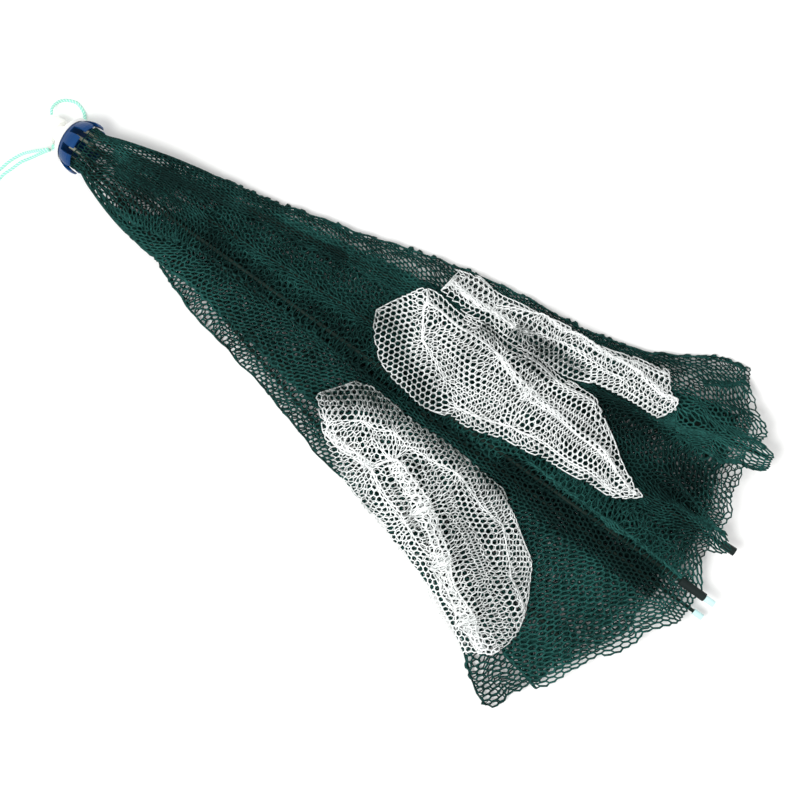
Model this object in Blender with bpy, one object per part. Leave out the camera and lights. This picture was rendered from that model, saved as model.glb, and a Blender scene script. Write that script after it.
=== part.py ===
"""Umbrella fishing net, folded shut and lying on its side.

In the tables the hub is at X = 0 and the ribs run along +X to the hem. Everything rests on
Z = 0. At the end the whole net is moved so that the origin is under the middle of its box.
The green cover is one closed tube of netting that goes back and forth in three pleats round
the ribs. Three white entrance funnels are pulled out and lie flattened on it. Lengths in the
tables are in millimetres.
"""

import math

import bmesh
import bpy
import numpy as np
from mathutils import Matrix, Vector

MM = 0.001
BOX_MIDDLE = (256.55, 4.15, 0.0)

# Hub: a blue half ball, its open rim towards the net, with a slot for each rib. It rests on
# the knob, so it is pitched down, and it leans a little to one side.
HUB_RADIUS = 19.4
HUB_WALL = 1.6
HUB_LIP = 1.2
HUB_AT = (7.4, 1.0, 20.7)
HUB_PITCH = math.radians(20)
HUB_LEAN = math.radians(5)
HUB_CORE = -10.0
SLOT_COUNT = 8
SLOT_WIDTH = 5.4
SLOT_FROM = -9.0

# Cap: a white dish on the crown of the hub, with a neck and a round knob. Distances are from
# the ball's middle.
CAP_GAP = 0.4
CAP_WALL = 1.9
CAP_SPREAD = math.radians(52)
NECK_RADIUS = 6.0
KNOB_RADIUS = 9.6
KNOB_FROM, KNOB_TO = 24.6, 35.4

# Ribs: straight rods from the ring in the hub to the hem.
RIB_RADIUS = 1.3
RIB_RING = 10.9
RIB_ROOT = -6.5
HEM_X = 530.0
POCKET_Z = {"top": 17.0, "middle": 9.6, "bottom": 2.9}

# slot: place round the ring in eighths of a turn; tip_x, tip_y: where the rod ends.
RIBS = (
    # name, slot, tip_x, tip_y, pocket
    ("a", 1.5, 511.0, 110.5, "top"),
    ("b", 0.5, 530.0, 44.5, "top"),
    ("c", -0.5, 534.0, 7.0, "top"),
    ("d", -1.5, 535.0, -5.0, "middle"),
    ("e", -2.5, 470.0, -75.0, "middle"),
    ("f", -3.5, 440.0, -100.0, "bottom"),
    ("g", 3.5, 495.0, -22.0, "bottom"),
    ("h", 2.5, 480.0, 88.0, "bottom"),
)
# Dark rubber sleeves and clear tips on the ends that stick out of the hem.
FERRULES = (
    # name, rib, from_x, to_x, radius
    ("ferrule_b", "b", 520.5, 531.0, 3.0),
    ("ferrule_c", "c", 512.5, 533.0, 3.05),
    ("tip_c", "c", 533.4, 541.0, 2.3),
    ("tip_d", "d", 533.6, 541.0, 2.2),
)

# Cover: lines from hub to hem, as distances from the X axis. A and E are the outer folds.
COVER_WALL = 1.0
COVER_FROM_X = 3.5
FOLD_LINES = (
    # x, A, B, D, F, C, E
    (0.0, 14.8, 12.0, 3.0, -9.3, -11.4, -12.8),
    (9.0, 15.2, 13.0, 3.5, -9.3, -11.8, -13.2),
    (13.0, 16.4, 13.8, 4.0, -9.2, -12.4, -13.6),
    (20.0, 19.4, 15.8, 4.5, -9.0, -14.5, -17.0),
    (40.0, 26.2, 22.0, 6.0, -8.0, -18.5, -23.6),
    (60.0, 32.2, 27.0, 8.0, -8.0, -22.0, -29.2),
    (90.0, 39.2, 33.5, 11.0, -8.0, -27.5, -36.0),
    (120.0, 46.4, 39.0, 14.5, -7.5, -31.5, -42.0),
    (150.0, 54.5, 45.5, 18.0, -7.0, -35.0, -47.8),
    (185.0, 65.5, 53.0, 21.5, -7.2, -39.0, -54.6),
    (220.0, 77.0, 61.0, 25.0, -8.0, -43.5, -63.2),
    (250.0, 86.0, 67.0, 28.0, -8.0, -47.0, -71.0),
    (276.0, 93.0, 72.0, 31.0, -7.0, -51.0, -75.0),
    (320.0, 101.2, 80.0, 36.0, -3.5, -60.0, -83.0),
    (345.0, 105.0, 85.0, 38.5, -3.0, -67.0, -89.5),
    (368.0, 109.0, 91.0, 41.0, -3.0, -75.0, -96.5),
    (395.0, 117.0, 98.0, 44.0, 0.0, -86.0, -106.5),
    (420.0, 131.0, 104.0, 47.0, 3.5, -98.0, -120.5),
    (440.0, 143.6, 111.0, 49.0, 4.0, -104.0, -136.0),
    (455.0, 150.6, 116.0, 51.0, 4.0, -108.0, -143.5),
    (490.0, 159.0, 123.0, 55.0, 2.5, -113.0, -153.0),
    (530.0, 170.0, 128.0, 60.0, 0.0, -117.0, -160.0),
)
LINE_NAMES = "ABDFCE"

# The cover's panels in order round the tube, top to bottom. Each row is a line that the panel
# crosses: its height at the hub and at the hem, where it starts round the neck (degrees, or
# None where the pleat starts in the neck's side at the panel's own height), and the steps to
# the next line. Small letters are the ribs' lines.
PANELS = (
    (
        # line, hub_z, hem_z, neck_angle, steps
        ("A", 9.5, 3.6, 15.0, 3),
        ("B", 24.0, 17.6, 40.0, 2),
        ("a", 25.0, 19.4, 50.0, 5),
        ("b", 30.5, 19.4, 80.0, 4),
        ("c", 30.5, 19.4, 108.0, 2),
        ("F", 30.2, 19.4, 122.0, 0),
    ),
    (
        ("F", 26.4, 13.9, None, 1),
        ("c", 25.5, 13.9, None, 2),
        ("b", 25.4, 13.9, None, 2),
        ("a", 19.5, 13.9, None, 1),
        ("B", 19.5, 13.9, None, 0),
    ),
    (
        ("B", 18.0, 12.0, None, 1),
        ("a", 18.0, 12.0, None, 2),
        ("b", 23.9, 12.0, None, 3),
        ("d", 24.55, 12.0, None, 5),
        ("C", 17.3, 12.0, 182.0, 0),
    ),
    (
        ("C", 12.3, 7.2, 190.0, 2),
        ("e", 12.3, 7.2, None, 3),
        ("D", 12.3, 7.2, None, 0),
    ),
    (
        ("D", 11.1, 5.3, None, 4),
        ("f", 11.1, 5.3, None, 3),
        ("E", 8.0, 3.6, 230.0, 0),
    ),
    (
        ("E", 0.5, 0.5, 238.0, 7),
        ("A", 0.5, 0.5, 345.0, 0),
    ),
)
FOLD_SIDES = (-1, 1, -1, 1, -1, 1)
FOLD_STEPS = 4
SAG, SAG_X = 2.0, (110.0, 180.0)

# How far each panel reaches from the hub, across its width from its first line to its last.
HEMS = (
    # (share of width, reach), ...
    (
        (0.0, 489.0),
        (0.1, 495.0),
        (0.17, 508.0),
        (0.28, 512.0),
        (0.335, 524.0),
        (0.4, 508.0),
        (0.5, 512.0),
        (0.62, 519.0),
        (0.75, 518.5),
        (0.85, 516.0),
        (1.0, 510.0),
    ),
    ((0.0, 510.0), (0.5, 500.0), (1.0, 492.0)),
    ((0.0, 492.0), (0.35, 507.0), (0.5, 531.0), (0.57, 531.0), (0.75, 513.0), (1.0, 490.0)),
    ((0.0, 490.0), (1.0, 495.0)),
    ((0.0, 495.0), (0.5, 508.0), (0.7, 493.0), (0.8, 489.0), (1.0, 481.0)),
    (
        (0.0, 481.0),
        (0.12, 488.0),
        (0.2, 493.0),
        (0.26, 500.0),
        (0.35, 514.0),
        (0.45, 525.0),
        (0.6, 521.0),
        (0.8, 512.0),
        (0.93, 500.0),
        (1.0, 489.0),
    ),
)
ROWS = (0.0, 0.02, 0.045, 0.075, 0.11, 0.15, 0.195, 0.245, 0.3, 0.36, 0.42, 0.48,
        0.54, 0.6, 0.66, 0.72, 0.78, 0.84, 0.89, 0.935, 0.97, 1.0)
NECK_TO_X, STACK_FROM_X = 35.0, 130.0
PLEAT_START = 0.05
NECK_TOP, NECK_BOTTOM = (31.2, 29.4), (5.35, 0.5)
NECK_BOTTOM_X = (15.0, 72.0)
NECK_SQUARE, NECK_SQUARE_X = 0.8, (13.0, 35.0)

# Raised creases of the top panel: a line from one point to another, with height and width.
CREASES = (
    # x0, y0, x1, y1, height, width
    (405.0, 84.0, 470.0, 108.0, 5.0, 9.0),
    (455.0, 106.0, 520.0, 112.0, 3.5, 7.0),
)

# Entrance funnels: sections across each flattened funnel, lower and upper edge.
FUNNEL_WALL = 1.0
FUNNEL_LAYERS = 3.4
FUNNEL_LIFT = 2.0
FUNNEL_STEPS = 12
FOLD_REACH = 3.4
BRIDGE, BRIDGE_SLOPE = 8.0, 0.8
FUNNEL_A = (
    # x_low, y_low, x_high, y_high, rise
    (234.0, 31.0, 242.0, 49.0, 1.0),
    (241.0, 19.0, 250.0, 62.0, 2.5),
    (257.0, 5.5, 267.0, 62.5, 4.0),
    (274.0, -2.0, 291.0, 63.5, 5.0),
    (296.0, -2.5, 320.0, 66.0, 5.5),
    (328.0, 1.5, 347.0, 69.0, 5.5),
    (357.0, 12.0, 373.0, 72.0, 5.0),
    (383.0, 18.0, 392.0, 71.0, 4.5),
    (411.0, 20.5, 413.0, 60.0, 3.5),
    (438.0, 24.5, 432.0, 48.0, 2.5),
    (456.5, 31.0, 458.0, 37.5, 1.0),
)
FUNNEL_B = (
    (262.0, 66.0, 260.5, 82.0, 1.5),
    (280.0, 68.0, 278.0, 91.0, 3.0),
    (302.0, 70.0, 294.0, 92.5, 4.0),
    (323.0, 72.5, 318.0, 94.5, 5.0),
    (347.0, 75.0, 339.0, 101.0, 5.0),
    (370.0, 78.5, 362.0, 102.5, 4.5),
    (390.0, 82.5, 382.0, 107.0, 4.0),
    (411.0, 83.0, 402.0, 114.0, 4.0),
    (432.0, 86.0, 419.0, 119.0, 3.0),
    (439.0, 97.5, 436.0, 114.5, 1.0),
)
FUNNEL_C = (
    (237.0, -43.0, 240.0, -33.0, 1.0),
    (246.0, -48.5, 252.0, -22.0, 1.5),
    (253.0, -57.5, 272.0, -15.0, 2.0),
    (270.0, -69.0, 293.0, -14.0, 2.5),
    (290.0, -78.0, 322.0, -13.0, 4.0),
    (317.0, -85.0, 354.0, -14.0, 5.0),
    (341.0, -91.0, 377.0, -15.0, 5.5),
    (358.0, -96.0, 396.0, -27.5, 5.5),
    (377.0, -103.0, 421.0, -43.5, 5.5),
    (398.0, -113.0, 436.0, -65.0, 5.0),
    (414.0, -122.0, 443.0, -89.5, 4.0),
    (421.0, -124.5, 442.0, -101.0, 3.0),
    (427.0, -126.0, 438.0, -113.0, 1.0),
)

# Pull cord: a short strand from the hub to the knob, and a doubled hand loop from the knob.
CORD_RADIUS = 1.1
BRIDGE_ROUTE = (
    (-6.6, 14.0, 6.0),
    (-8.6, 16.6, 2.6),
    (-11.6, 20.0, 1.3),
    (-16.7, 22.3, 1.15),
    (-20.5, 23.0, 1.15),
    (-24.3, 21.8, 1.15),
    (-28.3, 19.4, 1.5),
    (-30.8, 16.2, 3.0),
    (-31.5, 12.6, 5.4),
    (-30.6, 9.0, 7.8),
    (-28.4, 6.2, 9.2),
)
LOOP_ROUTE = (
    (-13.9, -14.2, 12.4),
    (-15.4, -16.0, 11.0),
    (-17.4, -18.4, 8.2),
    (-20.0, -21.7, 4.8),
    (-22.4, -25.4, 2.2),
    (-24.4, -28.6, 1.3),
    (-26.8, -32.4, 1.15),
    (-29.4, -40.2, 1.15),
    (-32.0, -48.4, 1.15),
    (-32.4, -56.0, 1.15),
    (-31.4, -68.0, 1.15),
    (-30.6, -81.0, 1.15),
    (-32.2, -94.0, 1.15),
    (-37.8, -102.4, 1.15),
    (-45.0, -102.8, 1.15),
    (-49.2, -95.0, 1.15),
    (-48.6, -82.0, 1.15),
    (-44.6, -68.0, 1.15),
    (-39.4, -55.0, 1.15),
    (-36.0, -46.0, 1.15),
    (-34.3, -38.4, 1.15),
    (-32.0, -32.4, 1.5),
    (-28.6, -27.0, 3.8),
    (-24.8, -23.4, 7.6),
    (-20.8, -20.0, 11.8),
    (-17.2, -17.0, 14.9),
    (-14.4, -14.4, 15.8),
)
KNOT_AT, KNOT_RADIUS = (-12.5, -11.1, 13.3), 2.1


def material(name, colour, roughness, metallic=0.0):
    """A plain Principled finish."""
    found = bpy.data.materials.new(name)
    found.use_nodes = True
    shader = found.node_tree.nodes["Principled BSDF"]
    shader.inputs["Base Color"].default_value = (*colour, 1.0)
    shader.inputs["Roughness"].default_value = roughness
    shader.inputs["Metallic"].default_value = metallic
    return found


def add_mesh(name, mesh, finish):
    """A linked object that shows the mesh in one finish."""
    mesh.materials.append(finish)
    made = bpy.data.objects.new(name, mesh)
    bpy.context.scene.collection.objects.link(made)
    return made


def from_bmesh(name, shape, finish):
    """An object of the bmesh, its faces turned outwards and shaded smooth."""
    bmesh.ops.recalc_face_normals(shape, faces=shape.faces[:])
    mesh = bpy.data.meshes.new(name)
    shape.to_mesh(mesh)
    shape.free()
    mesh.shade_smooth()
    mesh.set_sharp_from_angle(angle=math.radians(40))
    return add_mesh(name, mesh, finish)


def curve_through(stations, values, at):
    """Values at any place along the stations, on a curve that never overshoots them."""
    x, y = np.asarray(stations, float), np.asarray(values, float)
    slope = np.diff(y) / np.diff(x)
    tangent = np.zeros_like(y)
    rising = slope[:-1] * slope[1:] > 0
    joined = 2 * slope[:-1] * slope[1:]
    tangent[1:-1] = np.where(rising, joined / np.where(rising, slope[:-1] + slope[1:], 1), 0)
    tangent[0], tangent[-1] = slope[0], slope[-1]
    at = np.clip(at, x[0], x[-1])
    i = np.clip(np.searchsorted(x, at, side="right") - 1, 0, len(x) - 2)
    width = x[i + 1] - x[i]
    t = (at - x[i]) / width
    return (
        y[i] * (1 + 2 * t) * (1 - t) ** 2
        + tangent[i] * width * t * (1 - t) ** 2
        + y[i + 1] * t**2 * (3 - 2 * t)
        + tangent[i + 1] * width * t**2 * (t - 1)
    )


def ease(low, high, at):
    """0 below low, 1 above high, and smooth between."""
    t = np.clip((np.asarray(at, float) - low) / (high - low), 0, 1)
    return t * t * (3 - 2 * t)


def hub_point(along, across, up):
    """A point of the hub, given from the ball's middle, in the net's own axes."""
    x = along * math.cos(HUB_PITCH) - up * math.sin(HUB_PITCH)
    z = along * math.sin(HUB_PITCH) + up * math.cos(HUB_PITCH)
    return (
        HUB_AT[0] + x * math.cos(HUB_LEAN) - across * math.sin(HUB_LEAN),
        HUB_AT[1] + x * math.sin(HUB_LEAN) + across * math.cos(HUB_LEAN),
        HUB_AT[2] + z,
    )


def rib_root(slot):
    """Where a rib leaves the ring in the hub."""
    turn = slot * 2 * math.pi / SLOT_COUNT
    return hub_point(RIB_ROOT, RIB_RING * math.sin(turn), RIB_RING * math.cos(turn))


def rib_ends(row):
    """The root and the tip of a rib, on a straight line into its pocket at the hem."""
    _, slot, tip_x, tip_y, pocket = row
    root = rib_root(slot)
    share = (tip_x - root[0]) / (HEM_X - root[0])
    return root, (tip_x, tip_y, root[2] + (POCKET_Z[pocket] - root[2]) * share)


def line_y(name, x):
    """The distance from the X axis of a fold line, or of a rib."""
    if name in LINE_NAMES:
        table = np.array(FOLD_LINES)
        return curve_through(table[:, 0], table[:, 1 + LINE_NAMES.index(name)], x)
    root, tip = rib_ends(next(row for row in RIBS if row[0] == name))
    return root[1] + (tip[1] - root[1]) * (x - root[0]) / (tip[0] - root[0])


def crease_height(x, y):
    """How far the raised creases lift the top panel."""
    lift = np.zeros(np.broadcast(x, y).shape)
    for x0, y0, x1, y1, height, width in CREASES:
        length = math.hypot(x1 - x0, y1 - y0)
        along = np.clip(((x - x0) * (x1 - x0) + (y - y0) * (y1 - y0)) / length**2, 0, 1)
        off = np.hypot(x - x0 - along * (x1 - x0), y - y0 - along * (y1 - y0))
        lift = np.maximum(lift, height * np.exp(-((off / width) ** 2)))
    return lift


def line_height(row, x):
    """The height of a panel where it crosses a line."""
    return row[1] + (row[2] - row[1]) * np.asarray(x, float) / HEM_X


def panel_height(panel, x, y, pleat_only=False):
    """The height of a panel at a place, level beyond its outer lines."""
    rows = [row for row in PANELS[panel] if row[3] is None or not pleat_only]
    if line_y(rows[0][0], HEM_X) > line_y(rows[-1][0], HEM_X):
        rows = rows[::-1]
    height = line_height(rows[0], x)
    for row, beyond in zip(rows, rows[1:]):
        start, end = line_y(row[0], x), line_y(beyond[0], x)
        share = np.clip((y - start) / (end - start), 0, 1)
        step = line_height(beyond, x) - line_height(row, x)
        height = height + step * share * share * (3 - 2 * share)
        if panel == 0 and row[0] in "abc" and beyond[0] in "abc":
            height = height - SAG * ease(*SAG_X, x) * 4 * share * (1 - share)
    return height + crease_height(x, y) if panel == 0 else height


def squareness(x):
    """The power that makes the neck's round section a little square."""
    return 1 - (1 - NECK_SQUARE) * ease(*NECK_SQUARE_X, x)


def neck(x):
    """The neck's middle and half sizes: y, z, half_y, half_z."""
    right, left = line_y("A", x), line_y("E", x)
    top = NECK_TOP[0] + (NECK_TOP[1] - NECK_TOP[0]) * x / STACK_FROM_X
    bottom = NECK_BOTTOM[0] + (NECK_BOTTOM[1] - NECK_BOTTOM[0]) * ease(*NECK_BOTTOM_X, x)
    return (right + left) / 2, (top + bottom) / 2, (right - left) / 2, (top - bottom) / 2


def neck_angle(panel, step, x):
    """Where a line starts round the neck, in degrees from +Y through +Z."""
    given = PANELS[panel][step][3]
    if given is not None:
        return given + 0 * x
    _, middle, _, half = neck(x)
    rise = (panel_height(panel, x, -1000.0, True) - middle) / half
    return 180 - np.degrees(np.arcsin(np.sign(rise) * np.abs(rise) ** (1 / squareness(x))))


def panel_column(panel, step, share, x):
    """y, neck angle, and whether this place is in a pleat, along x."""
    row = PANELS[panel][step]
    y, angle = line_y(row[0], x), neck_angle(panel, step, x)
    if share <= 0:
        return y, angle, row[3] is None
    beyond = PANELS[panel][step + 1]
    y = y + (line_y(beyond[0], x) - y) * share
    angle = angle + (neck_angle(panel, step + 1, x) - angle) * share
    return y, angle, row[3] is None and beyond[3] is None


def cover_columns():
    """The places round the cover's tube: panel, step, share, and share across the panel.

    A fold's places have a negative share, which counts its turn from one panel to the next.
    """
    columns = []
    for panel, rows in enumerate(PANELS):
        start = line_y(rows[0][0], HEM_X)
        span = line_y(rows[-1][0], HEM_X) - start
        for step, row in enumerate(rows[:-1]):
            for i in range(row[4]):
                y = panel_column(panel, step, i / row[4], HEM_X)[0]
                columns.append((panel, step, i / row[4], (y - start) / span))
        last = len(rows) - 1
        columns.append((panel, last, 0.0, 1.0))
        columns += [(panel, last, -i / FOLD_STEPS, 1.0) for i in range(1, FOLD_STEPS)]
    return columns


def cover_column(column, rows):
    """x, y and z of one place round the tube, from the neck to the hem."""
    panel, step, share, place = column
    hem = np.array(HEMS[panel])
    reach = np.interp(place, hem[:, 0], hem[:, 1])
    y_at_hem = panel_column(panel, step, share, HEM_X)[0]
    end_x = reach * math.cos(math.atan2(y_at_hem, HEM_X))
    x = COVER_FROM_X + (end_x - COVER_FROM_X) * rows
    stack = ease(NECK_TO_X, STACK_FROM_X, x)
    y, angle, in_pleat = panel_column(panel, step, share, x)
    middle_y, middle_z, half_y, half_z = neck(x)
    below = (panel + 1) % len(PANELS)
    if share < 0:
        _, next_angle, next_in_pleat = panel_column(below, 0, 0.0, x)
        in_pleat = in_pleat and next_in_pleat
        angle = angle + ((next_angle - angle) % 360) * -share
    across, up = np.cos(np.radians(angle)), np.sin(np.radians(angle))
    neck_y = middle_y + half_y * np.sign(across) * np.abs(across) ** squareness(x)
    neck_z = middle_z + half_z * np.sign(up) * np.abs(up) ** squareness(x)
    flat_y = neck_y + (y - neck_y) * np.maximum(stack, PLEAT_START) if in_pleat else y
    z = panel_height(panel, x, flat_y, in_pleat)
    turn = max(-share, 0.0) * math.pi
    if share < 0:
        z_below = panel_height(below, x, flat_y, in_pleat)
        radius = np.abs(z - z_below) / 2
        z = (z + z_below) / 2 + (z - z_below) / 2 * math.cos(turn)
        flat_y = flat_y + FOLD_SIDES[panel] * radius * math.sin(turn)
    if in_pleat:
        return np.stack([x, flat_y, z], axis=1)
    return np.stack(
        [x, neck_y + (flat_y - neck_y) * stack, neck_z + (z - neck_z) * stack], axis=1
    )


def sheet(name, grid, wall, finish):
    """A tube of cloth from a grid of points, rows along it and columns round it."""
    rows, columns, _ = grid.shape
    faces = []
    for i in range(rows - 1):
        for j in range(columns):
            k = (j + 1) % columns
            faces.append(
                (i * columns + j, i * columns + k, (i + 1) * columns + k, (i + 1) * columns + j)
            )
    mesh = bpy.data.meshes.new(name)
    mesh.from_pydata((grid.reshape(-1, 3) * MM).tolist(), [], faces)
    mesh.shade_smooth()
    made = add_mesh(name, mesh, finish)
    wall_maker = made.modifiers.new("wall", "SOLIDIFY")
    wall_maker.thickness = wall * MM
    wall_maker.offset = 0.0
    return made


def make_cover(finish):
    rows = np.array(ROWS)
    grid = np.stack([cover_column(column, rows) for column in cover_columns()], axis=1)
    return sheet("cover", grid, COVER_WALL, finish)


def pile_top(x, y):
    """The height of the cover's top surface, or of the floor beside it."""
    height = 0.0
    for panel, left in ((4, "E"), (2, "C"), (0, "F")):
        if y >= line_y(left, x) - FOLD_REACH and y <= line_y("A", x) + FOLD_REACH:
            height = panel_height(panel, x, y) + COVER_WALL / 2
    return float(height)


def soft_pile_top(x, y):
    """The height that cloth lying across the pile takes, bridging its steps."""
    return max(
        pile_top(x, y + BRIDGE * o) - BRIDGE_SLOPE * BRIDGE * abs(o)
        for o in (-1.0, -0.75, -0.5, -0.25, 0.0, 0.25, 0.5, 0.75, 1.0)
    )


def funnel_grid(table):
    """A flattened funnel: a lower layer on the pile and an upper one that arches over it."""
    rows = []
    for x_low, y_low, x_high, y_high, rise in table:
        section = []
        for layer in (0, 1):
            for i in range(FUNNEL_STEPS):
                t = i / FUNNEL_STEPS if layer == 0 else 1 - i / FUNNEL_STEPS
                x, y = x_low + (x_high - x_low) * t, y_low + (y_high - y_low) * t
                bed = soft_pile_top(x, y) + FUNNEL_LIFT + FUNNEL_WALL / 2
                bulge = math.sin(math.pi * t) ** 0.6
                gap = FUNNEL_LAYERS * (0.35 + 0.65 * bulge) + rise * bulge
                section.append((x, y, bed + (gap if layer else 0.0)))
        rows.append(section)
    return np.array(rows)


def make_funnel(name, table, finish):
    return sheet(name, funnel_grid(table), FUNNEL_WALL, finish)


def hub_matrix():
    """The hub's place: pitched, then leaned, with its ball's middle at HUB_AT."""
    lean = Matrix.Rotation(HUB_LEAN, 4, "Z") @ Matrix.Rotation(-HUB_PITCH, 4, "Y")
    return Matrix.Translation(Vector(HUB_AT) * MM) @ lean


def turned(name, profile, finish, steps=48):
    """A profile of (along, radius) points turned about the hub's axis."""
    shape = bmesh.new()
    points = [shape.verts.new((x * MM, 0, r * MM)) for x, r in profile]
    edges = [shape.edges.new(pair) for pair in zip(points, points[1:])]
    bmesh.ops.spin(
        shape,
        geom=points + edges,
        cent=(0, 0, 0),
        axis=(1, 0, 0),
        angle=2 * math.pi,
        steps=steps,
        use_duplicate=False,
    )
    bmesh.ops.remove_doubles(shape, verts=shape.verts[:], dist=1e-6)
    shape.transform(hub_matrix())
    return from_bmesh(name, shape, finish)


def ball_arc(radius, first, last, steps):
    """(along, radius) points on a ball, by the angle from its crown."""
    angles = [first + (last - first) * i / steps for i in range(steps + 1)]
    return [(-radius * math.cos(a), radius * math.sin(a)) for a in angles]


def make_hub(finish):
    inner = HUB_RADIUS - HUB_WALL
    core_angle = math.acos(-HUB_CORE / inner)
    profile = ball_arc(HUB_RADIUS, 0, math.radians(86), 12)
    profile += [(HUB_LIP - 0.8, HUB_RADIUS - 0.3), (HUB_LIP, HUB_RADIUS - 1.2), (HUB_LIP, inner)]
    profile += ball_arc(inner, math.pi / 2, core_angle, 5)
    profile += [(HUB_CORE, 0.0)]
    hub = turned("hub", profile, finish)
    slots = bmesh.new()
    for i in range(SLOT_COUNT):
        turn = Matrix.Rotation((i + 0.5) * 2 * math.pi / SLOT_COUNT, 4, "X")
        length = HUB_LIP + 4 - SLOT_FROM
        place = Matrix.Translation(Vector((SLOT_FROM + length / 2, 0, HUB_RADIUS)) * MM)
        size = Matrix.Diagonal((length * MM, SLOT_WIDTH * MM, 12 * MM, 1))
        bmesh.ops.create_cube(slots, size=1.0, matrix=hub_matrix() @ turn @ place @ size)
    cutter = from_bmesh("slot_cutter", slots, finish)
    cutter.hide_render = True
    cutter.display_type = "WIRE"
    cut = hub.modifiers.new("slots", "BOOLEAN")
    cut.object = cutter
    cut.operation = "DIFFERENCE"
    return hub


def make_cap(finish):
    inner = HUB_RADIUS + CAP_GAP
    outer = inner + CAP_WALL
    neck_angle = math.asin(NECK_RADIUS / outer)
    edge = 4.0
    profile = ball_arc(inner, 0, CAP_SPREAD, 7)
    profile += ball_arc(outer, CAP_SPREAD, neck_angle, 5)
    profile += [(-KNOB_FROM, NECK_RADIUS), (-KNOB_FROM, KNOB_RADIUS - 1.0)]
    profile += [(-KNOB_FROM - 1.0, KNOB_RADIUS)]
    for i in range(5):
        turn = i / 4 * math.pi / 2
        profile.append(
            (-KNOB_TO + edge * (1 - math.sin(turn)), KNOB_RADIUS - edge * (1 - math.cos(turn)))
        )
    profile.append((-KNOB_TO - 0.4, 0.0))
    return turned("cap", profile, finish)


def rod(name, start, end, radius, finish, sides=8):
    """A straight round rod between two points."""
    start, end = Vector(start) * MM, Vector(end) * MM
    place = (end - start).to_track_quat("Z", "Y").to_matrix().to_4x4()
    place.translation = (start + end) / 2
    shape = bmesh.new()
    bmesh.ops.create_cone(
        shape,
        cap_ends=True,
        segments=sides,
        radius1=radius * MM,
        radius2=radius * MM,
        depth=(end - start).length,
        matrix=place,
    )
    return from_bmesh(name, shape, finish)


def make_ribs(finish):
    for row in RIBS:
        root, tip = rib_ends(row)
        rod("rib_" + row[0], root, tip, RIB_RADIUS, finish)


def make_ferrules(dark, clear):
    """Sleeves and tips, as tubes and plugs on the ends of their ribs."""
    for name, rib, from_x, to_x, radius in FERRULES:
        root, tip = (np.array(p) for p in rib_ends(next(r for r in RIBS if r[0] == rib)))
        along = (tip - root) / (tip[0] - root[0])
        start, end = root + along * (from_x - root[0]), root + along * (to_x - root[0])
        is_tip = name.startswith("tip")
        piece = rod(name, start, end, radius, clear if is_tip else dark, sides=16)
        bore = rod(name + "_bore", root, tip + along * 0.4, RIB_RADIUS + 0.32, dark, sides=16)
        bore.hide_render = True
        bore.display_type = "WIRE"
        cut = piece.modifiers.new("bore", "BOOLEAN")
        cut.object = bore
        cut.operation = "DIFFERENCE"


def smooth_route(points, spacing):
    """Evenly spaced points on a smooth curve through the route's points."""
    points = np.array(points, float)
    chords = np.r_[0, np.cumsum(np.linalg.norm(np.diff(points, axis=0), axis=1))]
    fine_at = np.linspace(0, chords[-1], 40 * len(points))
    slopes = np.gradient(points, chords, axis=0)
    i = np.clip(np.searchsorted(chords, fine_at, side="right") - 1, 0, len(points) - 2)
    width = (chords[i + 1] - chords[i])[:, None]
    t = (fine_at[:, None] - chords[i][:, None]) / width
    fine = (
        points[i] * (1 + 2 * t) * (1 - t) ** 2
        + slopes[i] * width * t * (1 - t) ** 2
        + points[i + 1] * t**2 * (3 - 2 * t)
        + slopes[i + 1] * width * t**2 * (t - 1)
    )
    run = np.r_[0, np.cumsum(np.linalg.norm(np.diff(fine, axis=0), axis=1))]
    count = max(int(run[-1] / spacing), 2)
    even = np.linspace(0, run[-1], count + 1)
    return np.stack([np.interp(even, run, fine[:, axis]) for axis in range(3)], axis=1)


def make_cord(name, route, finish, spacing=5.0):
    """A round cord along a route."""
    points = smooth_route(route, spacing)
    curve = bpy.data.curves.new(name, "CURVE")
    curve.dimensions = "3D"
    curve.bevel_depth = CORD_RADIUS * MM
    curve.bevel_resolution = 2
    curve.use_fill_caps = True
    spline = curve.splines.new("POLY")
    spline.points.add(len(points) - 1)
    for point, place in zip(spline.points, points * MM):
        point.co = (*place, 1.0)
    curve.materials.append(finish)
    made = bpy.data.objects.new(name, curve)
    bpy.context.scene.collection.objects.link(made)
    return made


def make_knot(finish):
    """The overhand knot that stops the doubled cord at the knob."""
    shape = bmesh.new()
    place = Matrix.Translation(Vector(KNOT_AT) * MM) @ Matrix.Diagonal((1.0, 0.85, 1.15, 1.0))
    bmesh.ops.create_icosphere(shape, subdivisions=2, radius=KNOT_RADIUS * MM, matrix=place)
    return from_bmesh("cord_knot", shape, finish)


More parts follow.
